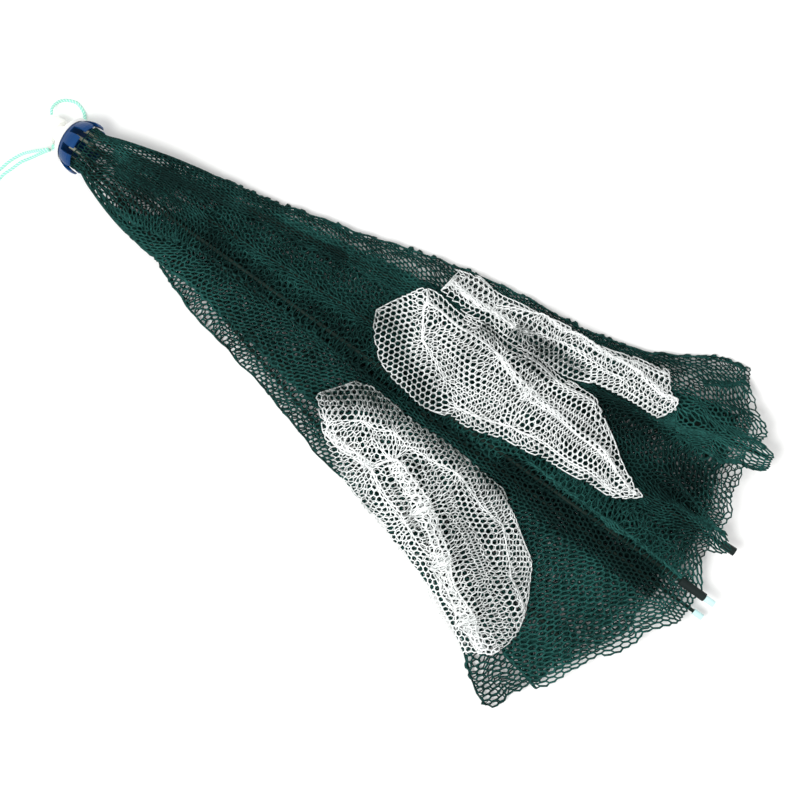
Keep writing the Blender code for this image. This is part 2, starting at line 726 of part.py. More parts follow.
def main():
    for old in list(bpy.data.objects):
        bpy.data.objects.remove(old)
    green = material("green_netting", (0.012, 0.055, 0.046), 0.75)
    white = material("white_netting", (0.85, 0.88, 0.88), 0.7)
    blue = material("blue_plastic", (0.012, 0.06, 0.3), 0.35)
    ivory = material("white_plastic", (0.85, 0.86, 0.84), 0.35)
    glass_fibre = material("glass_fibre_rod", (0.45, 0.4, 0.22), 0.4)
    rubber = material("dark_rubber", (0.012, 0.02, 0.02), 0.6)
    clear = material("aqua_plastic", (0.5, 0.75, 0.75), 0.25)
    mint = material("mint_cord", (0.35, 0.8, 0.66), 0.6)
    make_cover(green)
    make_funnel("funnel_upper", FUNNEL_B, white)
    make_funnel("funnel_middle", FUNNEL_A, white)
    make_funnel("funnel_lower", FUNNEL_C, white)
    make_hub(blue)
    make_cap(ivory)
    make_ribs(glass_fibre)
    make_ferrules(rubber, clear)
    make_cord("bridge_cord", BRIDGE_ROUTE, mint)
    make_cord("hand_loop", LOOP_ROUTE, mint)
    make_knot(mint)
    for made in bpy.data.objects:
        made.data.transform(Matrix.Translation(-Vector(BOX_MIDDLE) * MM))


main()
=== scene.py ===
import math

import bpy
import numpy as np
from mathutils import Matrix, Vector


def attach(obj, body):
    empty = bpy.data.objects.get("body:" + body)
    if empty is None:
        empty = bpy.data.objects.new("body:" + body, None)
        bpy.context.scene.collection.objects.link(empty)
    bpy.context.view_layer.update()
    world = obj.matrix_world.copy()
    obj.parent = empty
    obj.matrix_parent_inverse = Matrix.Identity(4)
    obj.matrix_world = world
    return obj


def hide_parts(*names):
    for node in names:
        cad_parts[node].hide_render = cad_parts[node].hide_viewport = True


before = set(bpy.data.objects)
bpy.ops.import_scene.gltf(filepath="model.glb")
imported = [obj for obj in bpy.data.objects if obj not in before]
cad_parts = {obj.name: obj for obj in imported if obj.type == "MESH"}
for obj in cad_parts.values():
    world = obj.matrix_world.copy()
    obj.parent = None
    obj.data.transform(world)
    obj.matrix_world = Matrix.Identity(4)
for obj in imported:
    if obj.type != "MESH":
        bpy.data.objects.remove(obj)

bl_info = {
    "name": "Folded umbrella fishing net",
    "version": (1, 0, 0),
    "blender": (4, 5, 0),
    "location": "View3D > Sidebar > Fishing net",
    "description": "Knits the nets, braids the cords and gives every part its finish",
    "category": "Add Mesh",
}

MM = 0.001

# --- Sizes and routes of the frame, in millimetres, the hub at X = 0 -----------------------

# The place of the row's origin: on the floor, under the middle of all but the free cords.
BOX_MIDDLE = (256.55, 4.15, 0.0)
HUB_AT = (7.4, 1.0, 20.7)
HUB_PITCH = math.radians(20)
HUB_LEAN = math.radians(5)
SLOT_COUNT = 8
RIB_RING = 10.9
RIB_ROOT = -6.5
HEM_X = 530.0
POCKET_Z = {"top": 17.0, "middle": 9.6, "bottom": 2.9}
RIBS = (
    # name, slot, tip_x, tip_y, pocket
    ("a", 1.5, 511.0, 110.5, "top"),
    ("b", 0.5, 530.0, 44.5, "top"),
    ("c", -0.5, 534.0, 7.0, "top"),
    ("d", -1.5, 535.0, -5.0, "middle"),
    ("e", -2.5, 470.0, -75.0, "middle"),
    ("f", -3.5, 440.0, -100.0, "bottom"),
    ("g", 3.5, 495.0, -22.0, "bottom"),
    ("h", 2.5, 480.0, 88.0, "bottom"),
)
COVER_WALL = 1.0
COVER_FROM_X = 3.5
FOLD_LINES = (
    # x, A, B, D, F, C, E
    (0.0, 14.8, 12.0, 3.0, -9.3, -11.4, -12.8),
    (9.0, 15.2, 13.0, 3.5, -9.3, -11.8, -13.2),
    (13.0, 16.4, 13.8, 4.0, -9.2, -12.4, -13.6),
    (20.0, 19.4, 15.8, 4.5, -9.0, -14.5, -17.0),
    (40.0, 26.2, 22.0, 6.0, -8.0, -18.5, -23.6),
    (60.0, 32.2, 27.0, 8.0, -8.0, -22.0, -29.2),
    (90.0, 39.2, 33.5, 11.0, -8.0, -27.5, -36.0),
    (120.0, 46.4, 39.0, 14.5, -7.5, -31.5, -42.0),
    (150.0, 54.5, 45.5, 18.0, -7.0, -35.0, -47.8),
    (185.0, 65.5, 53.0, 21.5, -7.2, -39.0, -54.6),
    (220.0, 77.0, 61.0, 25.0, -8.0, -43.5, -63.2),
    (250.0, 86.0, 67.0, 28.0, -8.0, -47.0, -71.0),
    (276.0, 93.0, 72.0, 31.0, -7.0, -51.0, -75.0),
    (320.0, 101.2, 80.0, 36.0, -3.5, -60.0, -83.0),
    (345.0, 105.0, 85.0, 38.5, -3.0, -67.0, -89.5),
    (368.0, 109.0, 91.0, 41.0, -3.0, -75.0, -96.5),
    (395.0, 117.0, 98.0, 44.0, 0.0, -86.0, -106.5),
    (420.0, 131.0, 104.0, 47.0, 3.5, -98.0, -120.5),
    (440.0, 143.6, 111.0, 49.0, 4.0, -104.0, -136.0),
    (455.0, 150.6, 116.0, 51.0, 4.0, -108.0, -143.5),
    (490.0, 159.0, 123.0, 55.0, 2.5, -113.0, -153.0),
    (530.0, 170.0, 128.0, 60.0, 0.0, -117.0, -160.0),
)
LINE_NAMES = "ABDFCE"
PANELS = (
    # rows of: line, hub_z, hem_z, neck_angle, steps
    (
        ("A", 9.5, 3.6, 15.0, 3),
        ("B", 24.0, 17.6, 40.0, 2),
        ("a", 25.0, 19.4, 50.0, 5),
        ("b", 30.5, 19.4, 80.0, 4),
        ("c", 30.5, 19.4, 108.0, 2),
        ("F", 30.2, 19.4, 122.0, 0),
    ),
    (
        ("F", 26.4, 13.9, None, 1),
        ("c", 25.5, 13.9, None, 2),
        ("b", 25.4, 13.9, None, 2),
        ("a", 19.5, 13.9, None, 1),
        ("B", 19.5, 13.9, None, 0),
    ),
    (
        ("B", 18.0, 12.0, None, 1),
        ("a", 18.0, 12.0, None, 2),
        ("b", 23.9, 12.0, None, 3),
        ("d", 24.55, 12.0, None, 5),
        ("C", 17.3, 12.0, 182.0, 0),
    ),
    (
        ("C", 12.3, 7.2, 190.0, 2),
        ("e", 12.3, 7.2, None, 3),
        ("D", 12.3, 7.2, None, 0),
    ),
    (
        ("D", 11.1, 5.3, None, 4),
        ("f", 11.1, 5.3, None, 3),
        ("E", 8.0, 3.6, 230.0, 0),
    ),
    (
        ("E", 0.5, 0.5, 238.0, 7),
        ("A", 0.5, 0.5, 345.0, 0),
    ),
)
FOLD_SIDES = (-1, 1, -1, 1, -1, 1)
SAG, SAG_X = 2.0, (110.0, 180.0)
HEMS = (
    # (share of width, reach), ... The top panel has tongues round rib a and the sleeve on rib b.
    (
        (0.0, 489.0),
        (0.1, 495.0),
        (0.17, 508.0),
        (0.29, 517.0),
        (0.305, 527.0),
        (0.34, 528.5),
        (0.395, 527.0),
        (0.42, 511.0),
        (0.5, 512.0),
        (0.62, 519.0),
        (0.67, 518.0),
        (0.71, 527.0),
        (0.76, 529.0),
        (0.79, 519.0),
        (0.85, 516.0),
        (1.0, 510.0),
    ),
    ((0.0, 510.0), (0.5, 500.0), (1.0, 492.0)),
    ((0.0, 492.0), (0.35, 507.0), (0.5, 531.0), (0.57, 531.0), (0.75, 513.0), (1.0, 490.0)),
    ((0.0, 490.0), (1.0, 495.0)),
    ((0.0, 495.0), (0.5, 508.0), (0.7, 493.0), (0.8, 489.0), (1.0, 481.0)),
    (
        (0.0, 481.0),
        (0.12, 488.0),
        (0.2, 493.0),
        (0.26, 500.0),
        (0.35, 514.0),
        (0.45, 525.0),
        (0.6, 521.0),
        (0.8, 512.0),
        (0.93, 500.0),
        (1.0, 489.0),
    ),
)
NECK_TO_X, STACK_FROM_X = 35.0, 130.0
PLEAT_START = 0.05
NECK_TOP, NECK_BOTTOM = (31.2, 29.4), (5.35, 0.5)
NECK_BOTTOM_X = (15.0, 72.0)
NECK_SQUARE, NECK_SQUARE_X = 0.8, (13.0, 35.0)
CREASES = (
    # x0, y0, x1, y1, height, width
    (405.0, 84.0, 470.0, 108.0, 5.0, 9.0),
    (455.0, 106.0, 520.0, 112.0, 3.5, 7.0),
)
FUNNEL_WALL = 1.0
FUNNEL_LAYERS = 3.4
FUNNEL_LIFT = 2.0
FOLD_REACH = 3.4
BRIDGE, BRIDGE_SLOPE = 8.0, 0.8
FUNNEL_A = (
    # x_low, y_low, x_high, y_high, rise
    (234.0, 31.0, 242.0, 49.0, 1.0),
    (241.0, 19.0, 250.0, 62.0, 2.5),
    (257.0, 5.5, 267.0, 65.0, 4.0),
    (274.0, -2.0, 291.0, 66.2, 5.0),
    (296.0, -2.5, 320.0, 68.0, 5.5),
    (328.0, 1.5, 347.0, 70.8, 5.5),
    (357.0, 12.0, 373.0, 73.2, 5.0),
    (383.0, 18.0, 392.0, 71.0, 4.5),
    (411.0, 20.5, 413.0, 60.0, 3.5),
    (438.0, 24.5, 432.0, 48.0, 2.5),
    (456.5, 31.0, 458.0, 37.5, 1.0),
)
FUNNEL_B = (
    # x_low, y_low, x_high, y_high, rise
    (262.0, 67.0, 260.5, 85.0, 1.5),
    (280.0, 67.0, 278.0, 92.5, 3.0),
    (302.0, 66.8, 294.0, 92.5, 4.0),
    (323.0, 68.4, 318.0, 94.5, 5.0),
    (347.0, 71.0, 339.0, 101.0, 5.0),
    (370.0, 74.8, 362.0, 102.5, 4.5),
    (390.0, 80.8, 382.0, 107.0, 4.0),
    (411.0, 83.0, 402.0, 114.0, 4.0),
    (432.0, 86.0, 419.0, 119.0, 3.0),
    (439.0, 97.5, 436.0, 114.5, 1.0),
)
FUNNEL_C = (
    # x_low, y_low, x_high, y_high, rise
    (235.0, -40.5, 236.0, -37.0, 1.0),
    (246.0, -50.0, 250.0, -18.5, 1.5),
    (253.0, -57.5, 263.0, -13.5, 2.0),
    (270.0, -69.0, 293.0, -14.0, 2.5),
    (290.0, -78.0, 322.0, -13.0, 4.0),
    (317.0, -85.0, 354.0, -14.0, 5.0),
    (341.0, -91.0, 377.0, -15.0, 5.5),
    (358.0, -96.0, 396.0, -27.5, 5.5),
    (377.0, -103.0, 421.0, -43.5, 5.5),
    (398.0, -113.0, 436.0, -65.0, 5.0),
    (414.0, -122.0, 443.0, -89.5, 4.0),
    (421.0, -124.5, 442.0, -101.0, 3.0),
    (427.0, -126.0, 438.0, -113.0, 1.0),
)
BRIDGE_ROUTE = (
    # x, y, z
    (-6.6, 14.0, 6.0),
    (-8.6, 16.6, 2.6),
    (-11.6, 20.0, 1.3),
    (-16.7, 22.3, 1.15),
    (-20.5, 23.0, 1.15),
    (-24.3, 21.8, 1.15),
    (-28.3, 19.4, 1.5),
    (-30.8, 16.2, 3.0),
    (-31.5, 12.6, 5.4),
    (-30.6, 9.0, 7.8),
    (-28.4, 6.2, 9.2),
)
LOOP_ROUTE = (
    # x, y, z
    (-13.9, -14.2, 12.4),
    (-15.4, -16.0, 11.0),
    (-17.4, -18.4, 8.2),
    (-20.0, -21.7, 4.8),
    (-22.4, -25.4, 2.2),
    (-24.4, -28.6, 1.3),
    (-26.8, -32.4, 1.15),
    (-29.4, -40.2, 1.15),
    (-32.0, -48.4, 1.15),
    (-32.4, -56.0, 1.15),
    (-31.4, -68.0, 1.15),
    (-30.6, -81.0, 1.15),
    (-32.2, -94.0, 1.15),
    (-37.8, -102.4, 1.15),
    (-45.0, -102.8, 1.15),
    (-49.2, -95.0, 1.15),
    (-48.6, -82.0, 1.15),
    (-44.6, -68.0, 1.15),
    (-39.4, -55.0, 1.15),
    (-36.0, -46.0, 1.15),
    (-34.3, -38.4, 1.15),
    (-32.0, -32.4, 1.5),
    (-28.6, -27.0, 3.8),
    (-24.8, -23.4, 7.6),
    (-20.8, -20.0, 11.8),
    (-17.2, -17.0, 14.9),
    (-14.4, -14.4, 15.8),
)
KNOT_AT, KNOT_RADIUS = (-12.5, -11.1, 13.3), 2.1

# --- What only the nets, the cords and the stage need ---------------------------------------

# The cover's flat cut: its gores, the pieces that show them, its girths and its length.
GORES = 8
PIECES = 4
HUB_CUT, HEM_CUT, CLOTH_LENGTH = 150.0, 1300.0, 512.0
# Cloth is shared out by each row's own widths up to the first, and by the hem's from the second.
GATHERED_TO_X, SPREAD_FROM_X = 30.0, 190.0
# The grid that carries the netting: its rows, crowded to the hub, and its columns.
GRID_ROWS, ROW_CROWDING = 90, 1.15
COLUMN_SPLIT, FOLD_STEPS = 4, 8
SOFT_FOLDS = (
    # x0, y0, x1, y1, height, width
    (14.0, 12.0, 100.0, 30.0, 2.4, 3.2),
    (100.0, 30.0, 215.0, 60.0, 2.6, 4.0),
    (29.0, 5.0, 110.0, 17.0, -2.0, 3.0),
    (110.0, 17.0, 200.0, 36.0, -2.2, 3.6),
    (55.0, 3.0, 130.0, 8.0, 2.2, 3.2),
    (130.0, 8.0, 226.0, 16.0, 2.2, 4.0),
    (70.0, -2.0, 200.0, -1.0, -1.6, 3.4),
    (250.0, 80.0, 400.0, 95.0, 1.4, 5.0),
    (470.0, 12.0, 524.0, 10.0, 2.6, 4.0),
    (400.0, 14.0, 470.0, 12.0, 2.2, 5.0),
)
PLEATS = (
    # x0, y0, x1, y1, height, width: ridges of the top cloth that fold over themselves
    (444.0, 92.0, 470.0, 99.0, 4.2, 3.6),
    (470.0, 99.0, 494.0, 101.0, 3.4, 3.0),
    (462.0, 106.0, 496.0, 108.0, 3.4, 2.8),
    (456.0, 110.0, 494.0, 116.0, 3.0, 2.8),
    (448.0, 112.0, 476.0, 126.0, 3.2, 3.0),
    (458.0, 122.0, 467.0, 144.0, 3.2, 3.0),
    (446.0, 126.0, 460.0, 138.0, 3.0, 3.0),
    (450.0, 82.0, 486.0, 88.0, 4.2, 3.4),
    (486.0, 88.0, 502.0, 96.0, 4.2, 3.0),
    (470.0, 60.0, 515.0, 52.0, 3.4, 3.4),
    (476.0, 46.0, 508.0, 45.0, 3.4, 3.2),
    (380.0, 10.0, 450.0, 9.0, 3.2, 4.0),
    (450.0, 9.0, 524.0, 8.0, 4.6, 3.6),
    (470.0, 22.0, 520.0, 24.0, 3.0, 3.6),
)
PLEATED, PLEAT_HEIGHT = (330.0, 390.0), 0.8
# Yarn is thickest this many times over inside the pleats and where cloth is gathered closest.
INNER_YARN, DENSE_X, GATHERED_FULL = 1.6, (20.0, 70.0), 1.6
# How far from the top cloth, or from the floor, a place is still in it, and is clear of it.
LAYER_DEPTH = (1.0, 2.0)
GATHERS = (
    # x0, y0, x1, y1, share, width: where the cloth is gathered closer
    (30.0, 10.0, 66.0, 18.0, 1.3, 5.0),
    (66.0, 18.0, 116.0, 31.0, 1.5, 8.0),
    (36.0, 3.0, 100.0, 10.0, 1.2, 6.0),
    (450.0, 110.0, 512.0, 110.0, 2.4, 15.0),
    (456.0, 124.0, 468.0, 146.0, 1.8, 12.0),
    (482.0, 124.0, 498.0, 126.0, 1.4, 9.0),
    (498.0, 45.0, 530.0, 45.0, 2.4, 9.0),
    (380.0, 8.0, 530.0, 8.0, 0.8, 6.0),
    (490.0, -9.0, 534.0, -9.0, 1.4, 7.0),
    (400.0, 66.0, 512.0, 62.0, 0.8, 16.0),
)
# Painted light on the cover's ridges and painted shade in its valleys and folds, as strokes.
COVER_PAINTED_LIGHT = (
    # x0, y0, x1, y1, share, width: painted light above 0, painted shade below
    (330.0, 4.0, 400.0, 14.0, 0.55, 8.0),
    (400.0, 13.0, 524.0, 11.0, 0.85, 9.0),
    (446.0, 98.0, 505.0, 106.0, 0.6, 17.0),
    (455.0, 130.0, 470.0, 140.0, 0.5, 10.0),
    (440.0, -40.0, 500.0, -30.0, 0.6, 26.0),
    (450.0, -80.0, 480.0, -100.0, 0.8, 22.0),
    (14.0, 12.0, 100.0, 30.0, 0.3, 3.0),
    (60.0, 3.0, 226.0, 16.0, 0.25, 3.0),
    (150.0, 44.0, 240.0, 66.0, 0.4, 9.0),
    (60.0, -24.0, 250.0, -52.0, 0.35, 9.0),
    (374.0, -1.0, 500.0, -5.0, -1.0, 11.0),
    (420.0, -10.0, 500.0, -12.0, -0.7, 7.0),
    (394.0, 72.0, 478.0, 68.0, -1.0, 11.0),
    (430.0, 52.0, 480.0, 55.0, -0.8, 12.0),
    (40.0, 14.0, 190.0, 46.0, -0.6, 6.0),
    (20.0, 0.0, 240.0, 0.0, -0.5, 10.0),
    (240.0, -7.0, 370.0, -6.0, -0.8, 4.0),
)
# The ragged hem: how far it wanders, the size of its swells, and the run of each panel's hem.
HEM_RAGGED, HEM_SWELL, HEM_START = 1.6, 16.0, 0.6
HEM_RUN, HEM_APART = 170.0, 40.0
# A fold's bulge past its line as a share of a half round, and the frill of cloth in the hub.
FOLD_BULGE = 0.35
FRILL, FRILL_X = 0.12, (6.0, 14.0)
FUNNEL_A_FOLDS = (
    # x0, y0, x1, y1, height, width
    (252.0, 64.0, 258.0, 50.0, 3.0, 3.0),
    (258.0, 50.0, 272.0, 34.0, 2.6, 2.6),
    (272.0, 34.0, 300.0, 20.0, 2.0, 3.0),
    (262.0, 57.0, 322.0, 56.0, 3.2, 3.4),
    (322.0, 54.0, 350.0, 47.0, 5.0, 3.8),
    (350.0, 47.0, 420.0, 44.5, 5.2, 3.8),
    (420.0, 44.0, 454.0, 37.0, 3.6, 2.4),
    (296.0, 66.0, 392.0, 68.0, 2.6, 2.6),
    (318.0, 8.0, 356.0, 21.0, 2.6, 3.4),
    (356.0, 24.0, 432.0, 27.0, 3.0, 3.0),
    (374.0, 32.0, 440.0, 31.0, 2.2, 2.2),
)
FUNNEL_B_FOLDS = (
    # x0, y0, x1, y1, height, width
    (264.0, 76.0, 296.0, 76.0, 4.4, 4.0),
    (296.0, 76.0, 322.0, 78.0, 4.4, 3.0),
    (322.0, 79.0, 346.0, 88.5, 3.4, 2.8),
    (346.0, 89.0, 396.0, 91.0, 2.8, 2.6),
    (298.0, 86.0, 326.0, 95.0, 2.6, 2.6),
    (326.0, 98.0, 376.0, 101.5, 5.2, 2.8),
    (376.0, 101.5, 436.0, 103.5, 5.2, 2.8),
    (378.0, 106.0, 424.0, 117.0, 2.6, 2.2),
)
FUNNEL_C_FOLDS = (
    # x0, y0, x1, y1, height, width
    (248.0, -47.0, 270.0, -37.0, 2.8, 2.4),
    (270.0, -37.0, 292.0, -27.5, 3.0, 3.0),
    (292.0, -27.5, 344.0, -26.0, 3.0, 3.0),
    (344.0, -26.0, 392.0, -36.0, 2.2, 2.6),
    (256.0, -56.0, 292.0, -59.0, 5.0, 4.6),
    (292.0, -60.0, 334.0, -78.0, 3.7, 3.6),
    (334.0, -78.0, 384.0, -101.0, 3.7, 3.2),
    (284.0, -41.0, 306.0, -44.0, 3.4, 3.6),
    (306.0, -44.0, 341.0, -60.0, 6.2, 5.2),
    (341.0, -60.0, 375.0, -80.0, 6.2, 5.2),
    (375.0, -80.0, 414.0, -101.0, 6.2, 5.2),
    (414.0, -101.0, 434.0, -114.0, 6.0, 5.0),
    (384.0, -101.0, 422.0, -121.0, 3.7, 3.2),
    (392.0, -36.0, 416.0, -62.0, 3.0, 2.2),
    (416.0, -62.0, 438.0, -74.0, 3.0, 2.2),
    (366.0, -52.0, 404.0, -70.0, 1.8, 2.2),
)
FUNNEL_OPENINGS = (
    # x0, y0, x1, y1, share, width: where the funnel's two layers lie cell on cell
    (244.0, 30.0, 262.0, 12.0, 1.0, 14.0),
    (262.0, 12.0, 296.0, 6.0, 1.0, 12.0),
    (284.0, 48.0, 300.0, 44.0, 0.8, 8.0),
    (318.0, 60.0, 398.0, 56.0, 1.0, 9.0),
    (350.0, 36.0, 368.0, 34.0, 0.9, 5.0),
    (374.0, 39.0, 440.0, 35.0, 0.9, 4.0),
    (304.0, 82.0, 330.0, 93.0, 1.0, 5.0),
    (330.0, 95.0, 436.0, 97.0, 1.0, 5.0),
    (394.0, 108.0, 430.0, 110.0, 0.8, 4.0),
    (326.0, 80.0, 372.0, 82.0, 0.6, 7.0),
    (246.0, -24.0, 380.0, -15.0, 0.7, 8.0),
    (312.0, -38.0, 400.0, -50.0, 1.0, 10.0),
    (340.0, -56.0, 420.0, -90.0, 1.0, 12.0),
    (400.0, -60.0, 434.0, -92.0, 0.9, 10.0),
    (306.0, -56.0, 345.0, -72.0, 0.9, 5.0),
    (345.0, -82.0, 428.0, -122.0, 0.9, 6.0),
)
# Painted light on the funnels' ridges, and painted shade in their folds, in the gap between two
# funnels and on a back layer that lies in shade.
FUNNEL_PAINTED_LIGHT = (
    # x0, y0, x1, y1, share, width: painted light above 0, painted shade below
    (280.0, 35.0, 430.0, 42.0, 0.4, 24.0),
    (280.0, 82.0, 430.0, 98.0, 0.45, 18.0),
    (300.0, -50.0, 420.0, -80.0, -0.2, 30.0),
    (240.0, -33.0, 262.0, -24.0, -1.0, 8.0),
    (258.0, -20.0, 285.0, -16.0, -1.0, 11.0),
    (285.0, -15.0, 384.0, -12.0, -1.0, 9.0),
    (292.0, -60.0, 422.0, -121.0, 0.9, 7.0),
    (322.0, 78.0, 368.0, 80.0, -0.7, 9.0),
    (300.0, 66.0, 356.0, 64.0, -0.6, 3.5),
    (240.0, 30.0, 292.0, 0.0, -0.35, 12.0),
    (254.0, 54.0, 264.0, 50.0, 0.7, 7.0),
    (322.0, 54.0, 420.0, 45.0, 0.9, 6.0),
    (420.0, 44.0, 456.0, 36.0, 0.6, 5.0),
    (330.0, 99.0, 434.0, 103.0, 0.9, 5.0),
    (264.0, 76.0, 322.0, 78.0, 0.5, 6.0),
    (252.0, -54.0, 300.0, -52.0, 0.8, 9.0),
    (300.0, -43.0, 341.0, -60.0, 1.0, 6.0),
    (341.0, -60.0, 434.0, -115.0, 1.0, 7.0),
    (270.0, -34.0, 344.0, -27.0, 0.5, 4.0),
)
# The two layers of a funnel: how far they slip apart, and how that varies.
LAYER_SHIFT, SHIFT_LEAST, SHIFT_VARIES = 2.3, 0.75, 0.35
SHIFT_SIZE, SHIFT_START, SHIFT_EDGE, SHIFT_ACROSS = 40.0, 4.0, 0.12, 0.4
# The gap between them: its share at the edges, and how blunt they and the folds on them are.
EDGE_GAP, GAP_BLUNT, FOLD_BLUNT = 0.35, 0.6, 0.5
FUNNEL_WANDER = (
    # distance, size, start
    (0.9, 80.0, 1.0),
    (1.2, 72.0, 3.0),
)
FUNNEL_STATIONS = 400
# How many times taller than wide the yarns are, and how much thicker the funnels' ridges are.
GREEN_HEIGHT, WHITE_HEIGHT = 1.5, 1.25
RIDGE_YARN, RIDGE_HEIGHT = 1.5, 4.4
# Cells this near to a cut edge, in sides of a cell, are drawn out to it.
NEAR_EDGE = 1.05
WANDER, WANDER_SIZE, WANDER_X = 0.9, 34.0, (60.0, 130.0)
WANDER_LAYER, WANDER_ACROSS = 0.9, 2.0
PULL_EACH, PULL_REACH = 0.38, 2.3
SWELL_TURN, SWELL_SUM = 3.7, 2.2
SWELLS = (
    # direction, share of the size, start
    (0.3, 1.0, 0.7),
    (1.4, 0.73, 2.9),
    (2.3, 1.31, 4.4),
    (2.9, 0.57, 1.9),
    (0.9, 0.44, 5.2),
)
FUNNELS = (
    # name, solid, sections, turn of its axis, folds
    ("funnel_net_upper", "funnel_upper", FUNNEL_B, math.radians(8), FUNNEL_B_FOLDS),
    ("funnel_net_middle", "funnel_middle", FUNNEL_A, 0.0, FUNNEL_A_FOLDS),
    ("funnel_net_lower", "funnel_lower", FUNNEL_C, math.radians(-28), FUNNEL_C_FOLDS),
)
# Cords: the spacing of their rings, the sides of a ring, and the tangent that counts as upright.
CORD_STEP, CORD_SIDES, UPRIGHT = 0.9, 14, 0.2
# The knot: its rings, its sides, and its spread and thickness as shares of its radius.
KNOT_STEPS, KNOT_SIDES, KNOT_SPREAD, KNOT_CORD = 48, 10, 0.26, 0.36
# The ribs' dark painted shade, as dark as the netting round them, starts where the glass fibre
# leaves the hub.
ROD_SHADE_X = (6.55, 12.55)
CAMERA_HEIGHT, HALF_FRAME = 1600.0, 278.6
FRAME_MIDDLE = (283.3, -8.8)
FRAME_TURN = math.radians(36.6)
FLOOR_SIZE = 8000.0
FLOOR_SHADE = 0.985
WORLD_LIGHT = 0.78
LIGHTS = (
    # name, right, up, height, size, power
    ("key", -750.0, -450.0, 1900.0, 1000.0, 30.0),
    ("fill", 800.0, 900.0, 1900.0, 1600.0, 7.0),
)


def between(t, width, first, last, first_slope, last_slope):
    """A smooth curve from one point to the next, with the slopes given at both."""
    return (
        first * (1 + 2 * t) * (1 - t) ** 2
        + first_slope * width * t * (1 - t) ** 2
        + last * t**2 * (3 - 2 * t)
        + last_slope * width * t**2 * (t - 1)
    )


def curve_through(stations, values, at):
    """Values at any place along the stations, on a curve that never overshoots them."""
    x, y = np.asarray(stations, float), np.asarray(values, float)
    slope = np.diff(y) / np.diff(x)
    tangent = np.zeros_like(y)
    rising = slope[:-1] * slope[1:] > 0
    joined = 2 * slope[:-1] * slope[1:]
    tangent[1:-1] = np.where(rising, joined / np.where(rising, slope[:-1] + slope[1:], 1), 0)
    tangent[0], tangent[-1] = slope[0], slope[-1]
    at = np.clip(at, x[0], x[-1])
    i = np.clip(np.searchsorted(x, at, side="right") - 1, 0, len(x) - 2)
    width = x[i + 1] - x[i]
    return between((at - x[i]) / width, width, y[i], y[i + 1], tangent[i], tangent[i + 1])


def ease(low, high, at):
    """0 below low, 1 above high, and smooth between."""
    t = np.clip((np.asarray(at, float) - low) / (high - low), 0, 1)
    return t * t * (3 - 2 * t)


def hub_point(along, across, up):
    """A point of the hub, given from the ball's middle, in the net's own axes."""
    x = along * math.cos(HUB_PITCH) - up * math.sin(HUB_PITCH)
    z = along * math.sin(HUB_PITCH) + up * math.cos(HUB_PITCH)
    return (
        HUB_AT[0] + x * math.cos(HUB_LEAN) - across * math.sin(HUB_LEAN),
        HUB_AT[1] + x * math.sin(HUB_LEAN) + across * math.cos(HUB_LEAN),
        HUB_AT[2] + z,
    )


def rib_ends(row):
    """The root and the tip of a rib, on a straight line into its pocket at the hem."""
    _, slot, tip_x, tip_y, pocket = row
    turn = slot * 2 * math.pi / SLOT_COUNT
    root = hub_point(RIB_ROOT, RIB_RING * math.sin(turn), RIB_RING * math.cos(turn))
    share = (tip_x - root[0]) / (HEM_X - root[0])
    return root, (tip_x, tip_y, root[2] + (POCKET_Z[pocket] - root[2]) * share)


def line_y(name, x):
    """The distance from the X axis of a fold line, or of a rib."""
    if name in LINE_NAMES:
        table = np.array(FOLD_LINES)
        return curve_through(table[:, 0], table[:, 1 + LINE_NAMES.index(name)], x)
    root, tip = rib_ends(next(row for row in RIBS if row[0] == name))
    return root[1] + (tip[1] - root[1]) * (x - root[0]) / (tip[0] - root[0])


def off_stroke(ends, x, y):
    """How far off a stroke a place is, in x and y, and the stroke's run and length."""
    x0, y0, x1, y1 = ends
    run_x, run_y = x1 - x0, y1 - y0
    length = math.hypot(run_x, run_y)
    along = np.clip(((x - x0) * run_x + (y - y0) * run_y) / length**2, 0, 1)
    return x - x0 - along * run_x, y - y0 - along * run_y, run_x, run_y, length


def strokes_height(strokes, x, y):
    """The signed height of soft ridges and troughs at a place: the strongest one's."""
    lift = np.zeros(np.broadcast(x, y).shape)
    for *ends, height, width in strokes:
        off_x, off_y, *_ = off_stroke(ends, x, y)
        here = height * np.exp(-((np.hypot(off_x, off_y) / width) ** 2))
        lift = np.where(np.abs(here) > np.abs(lift), here, lift)
    return lift


def pulled(strokes, x, y):
    """Cloth drawn towards its ridges, the high ones as pleats: its places, and its step in one."""
    weight, drawn_x, drawn_y, step = 0 * x, 0 * x, 0 * x, 0 * x
    for *ends, height, width in strokes:
        off_x, off_y, run_x, run_y, length = off_stroke(ends, x, y)
        reach = PULL_REACH * width
        here = np.exp(-(np.hypot(off_x, off_y) / reach) ** 2)
        weight = weight + here
        drawn_x = drawn_x + here * PULL_EACH * height * off_x
        drawn_y = drawn_y + here * PULL_EACH * height * off_y
        step = step + here * (off_y * run_x - off_x * run_y) / length / reach
    weight = np.maximum(weight, 1.0)
    return x - drawn_x / weight, y - drawn_y / weight, step / weight


def wander(x, y, size, start):
    """Uneven values between about -1 and 1, in swells of about this size."""
    total = 0.0
    for turn, share, phase in SWELLS:
        run = x * np.cos(turn + start) + y * np.sin(turn + start)
        total = total + np.sin(2 * math.pi * run / (size * share) + phase + SWELL_TURN * start)
    return total / SWELL_SUM


def line_height(row, x):
    """The height of a panel where it crosses a line."""
    return row[1] + (row[2] - row[1]) * np.asarray(x, float) / HEM_X


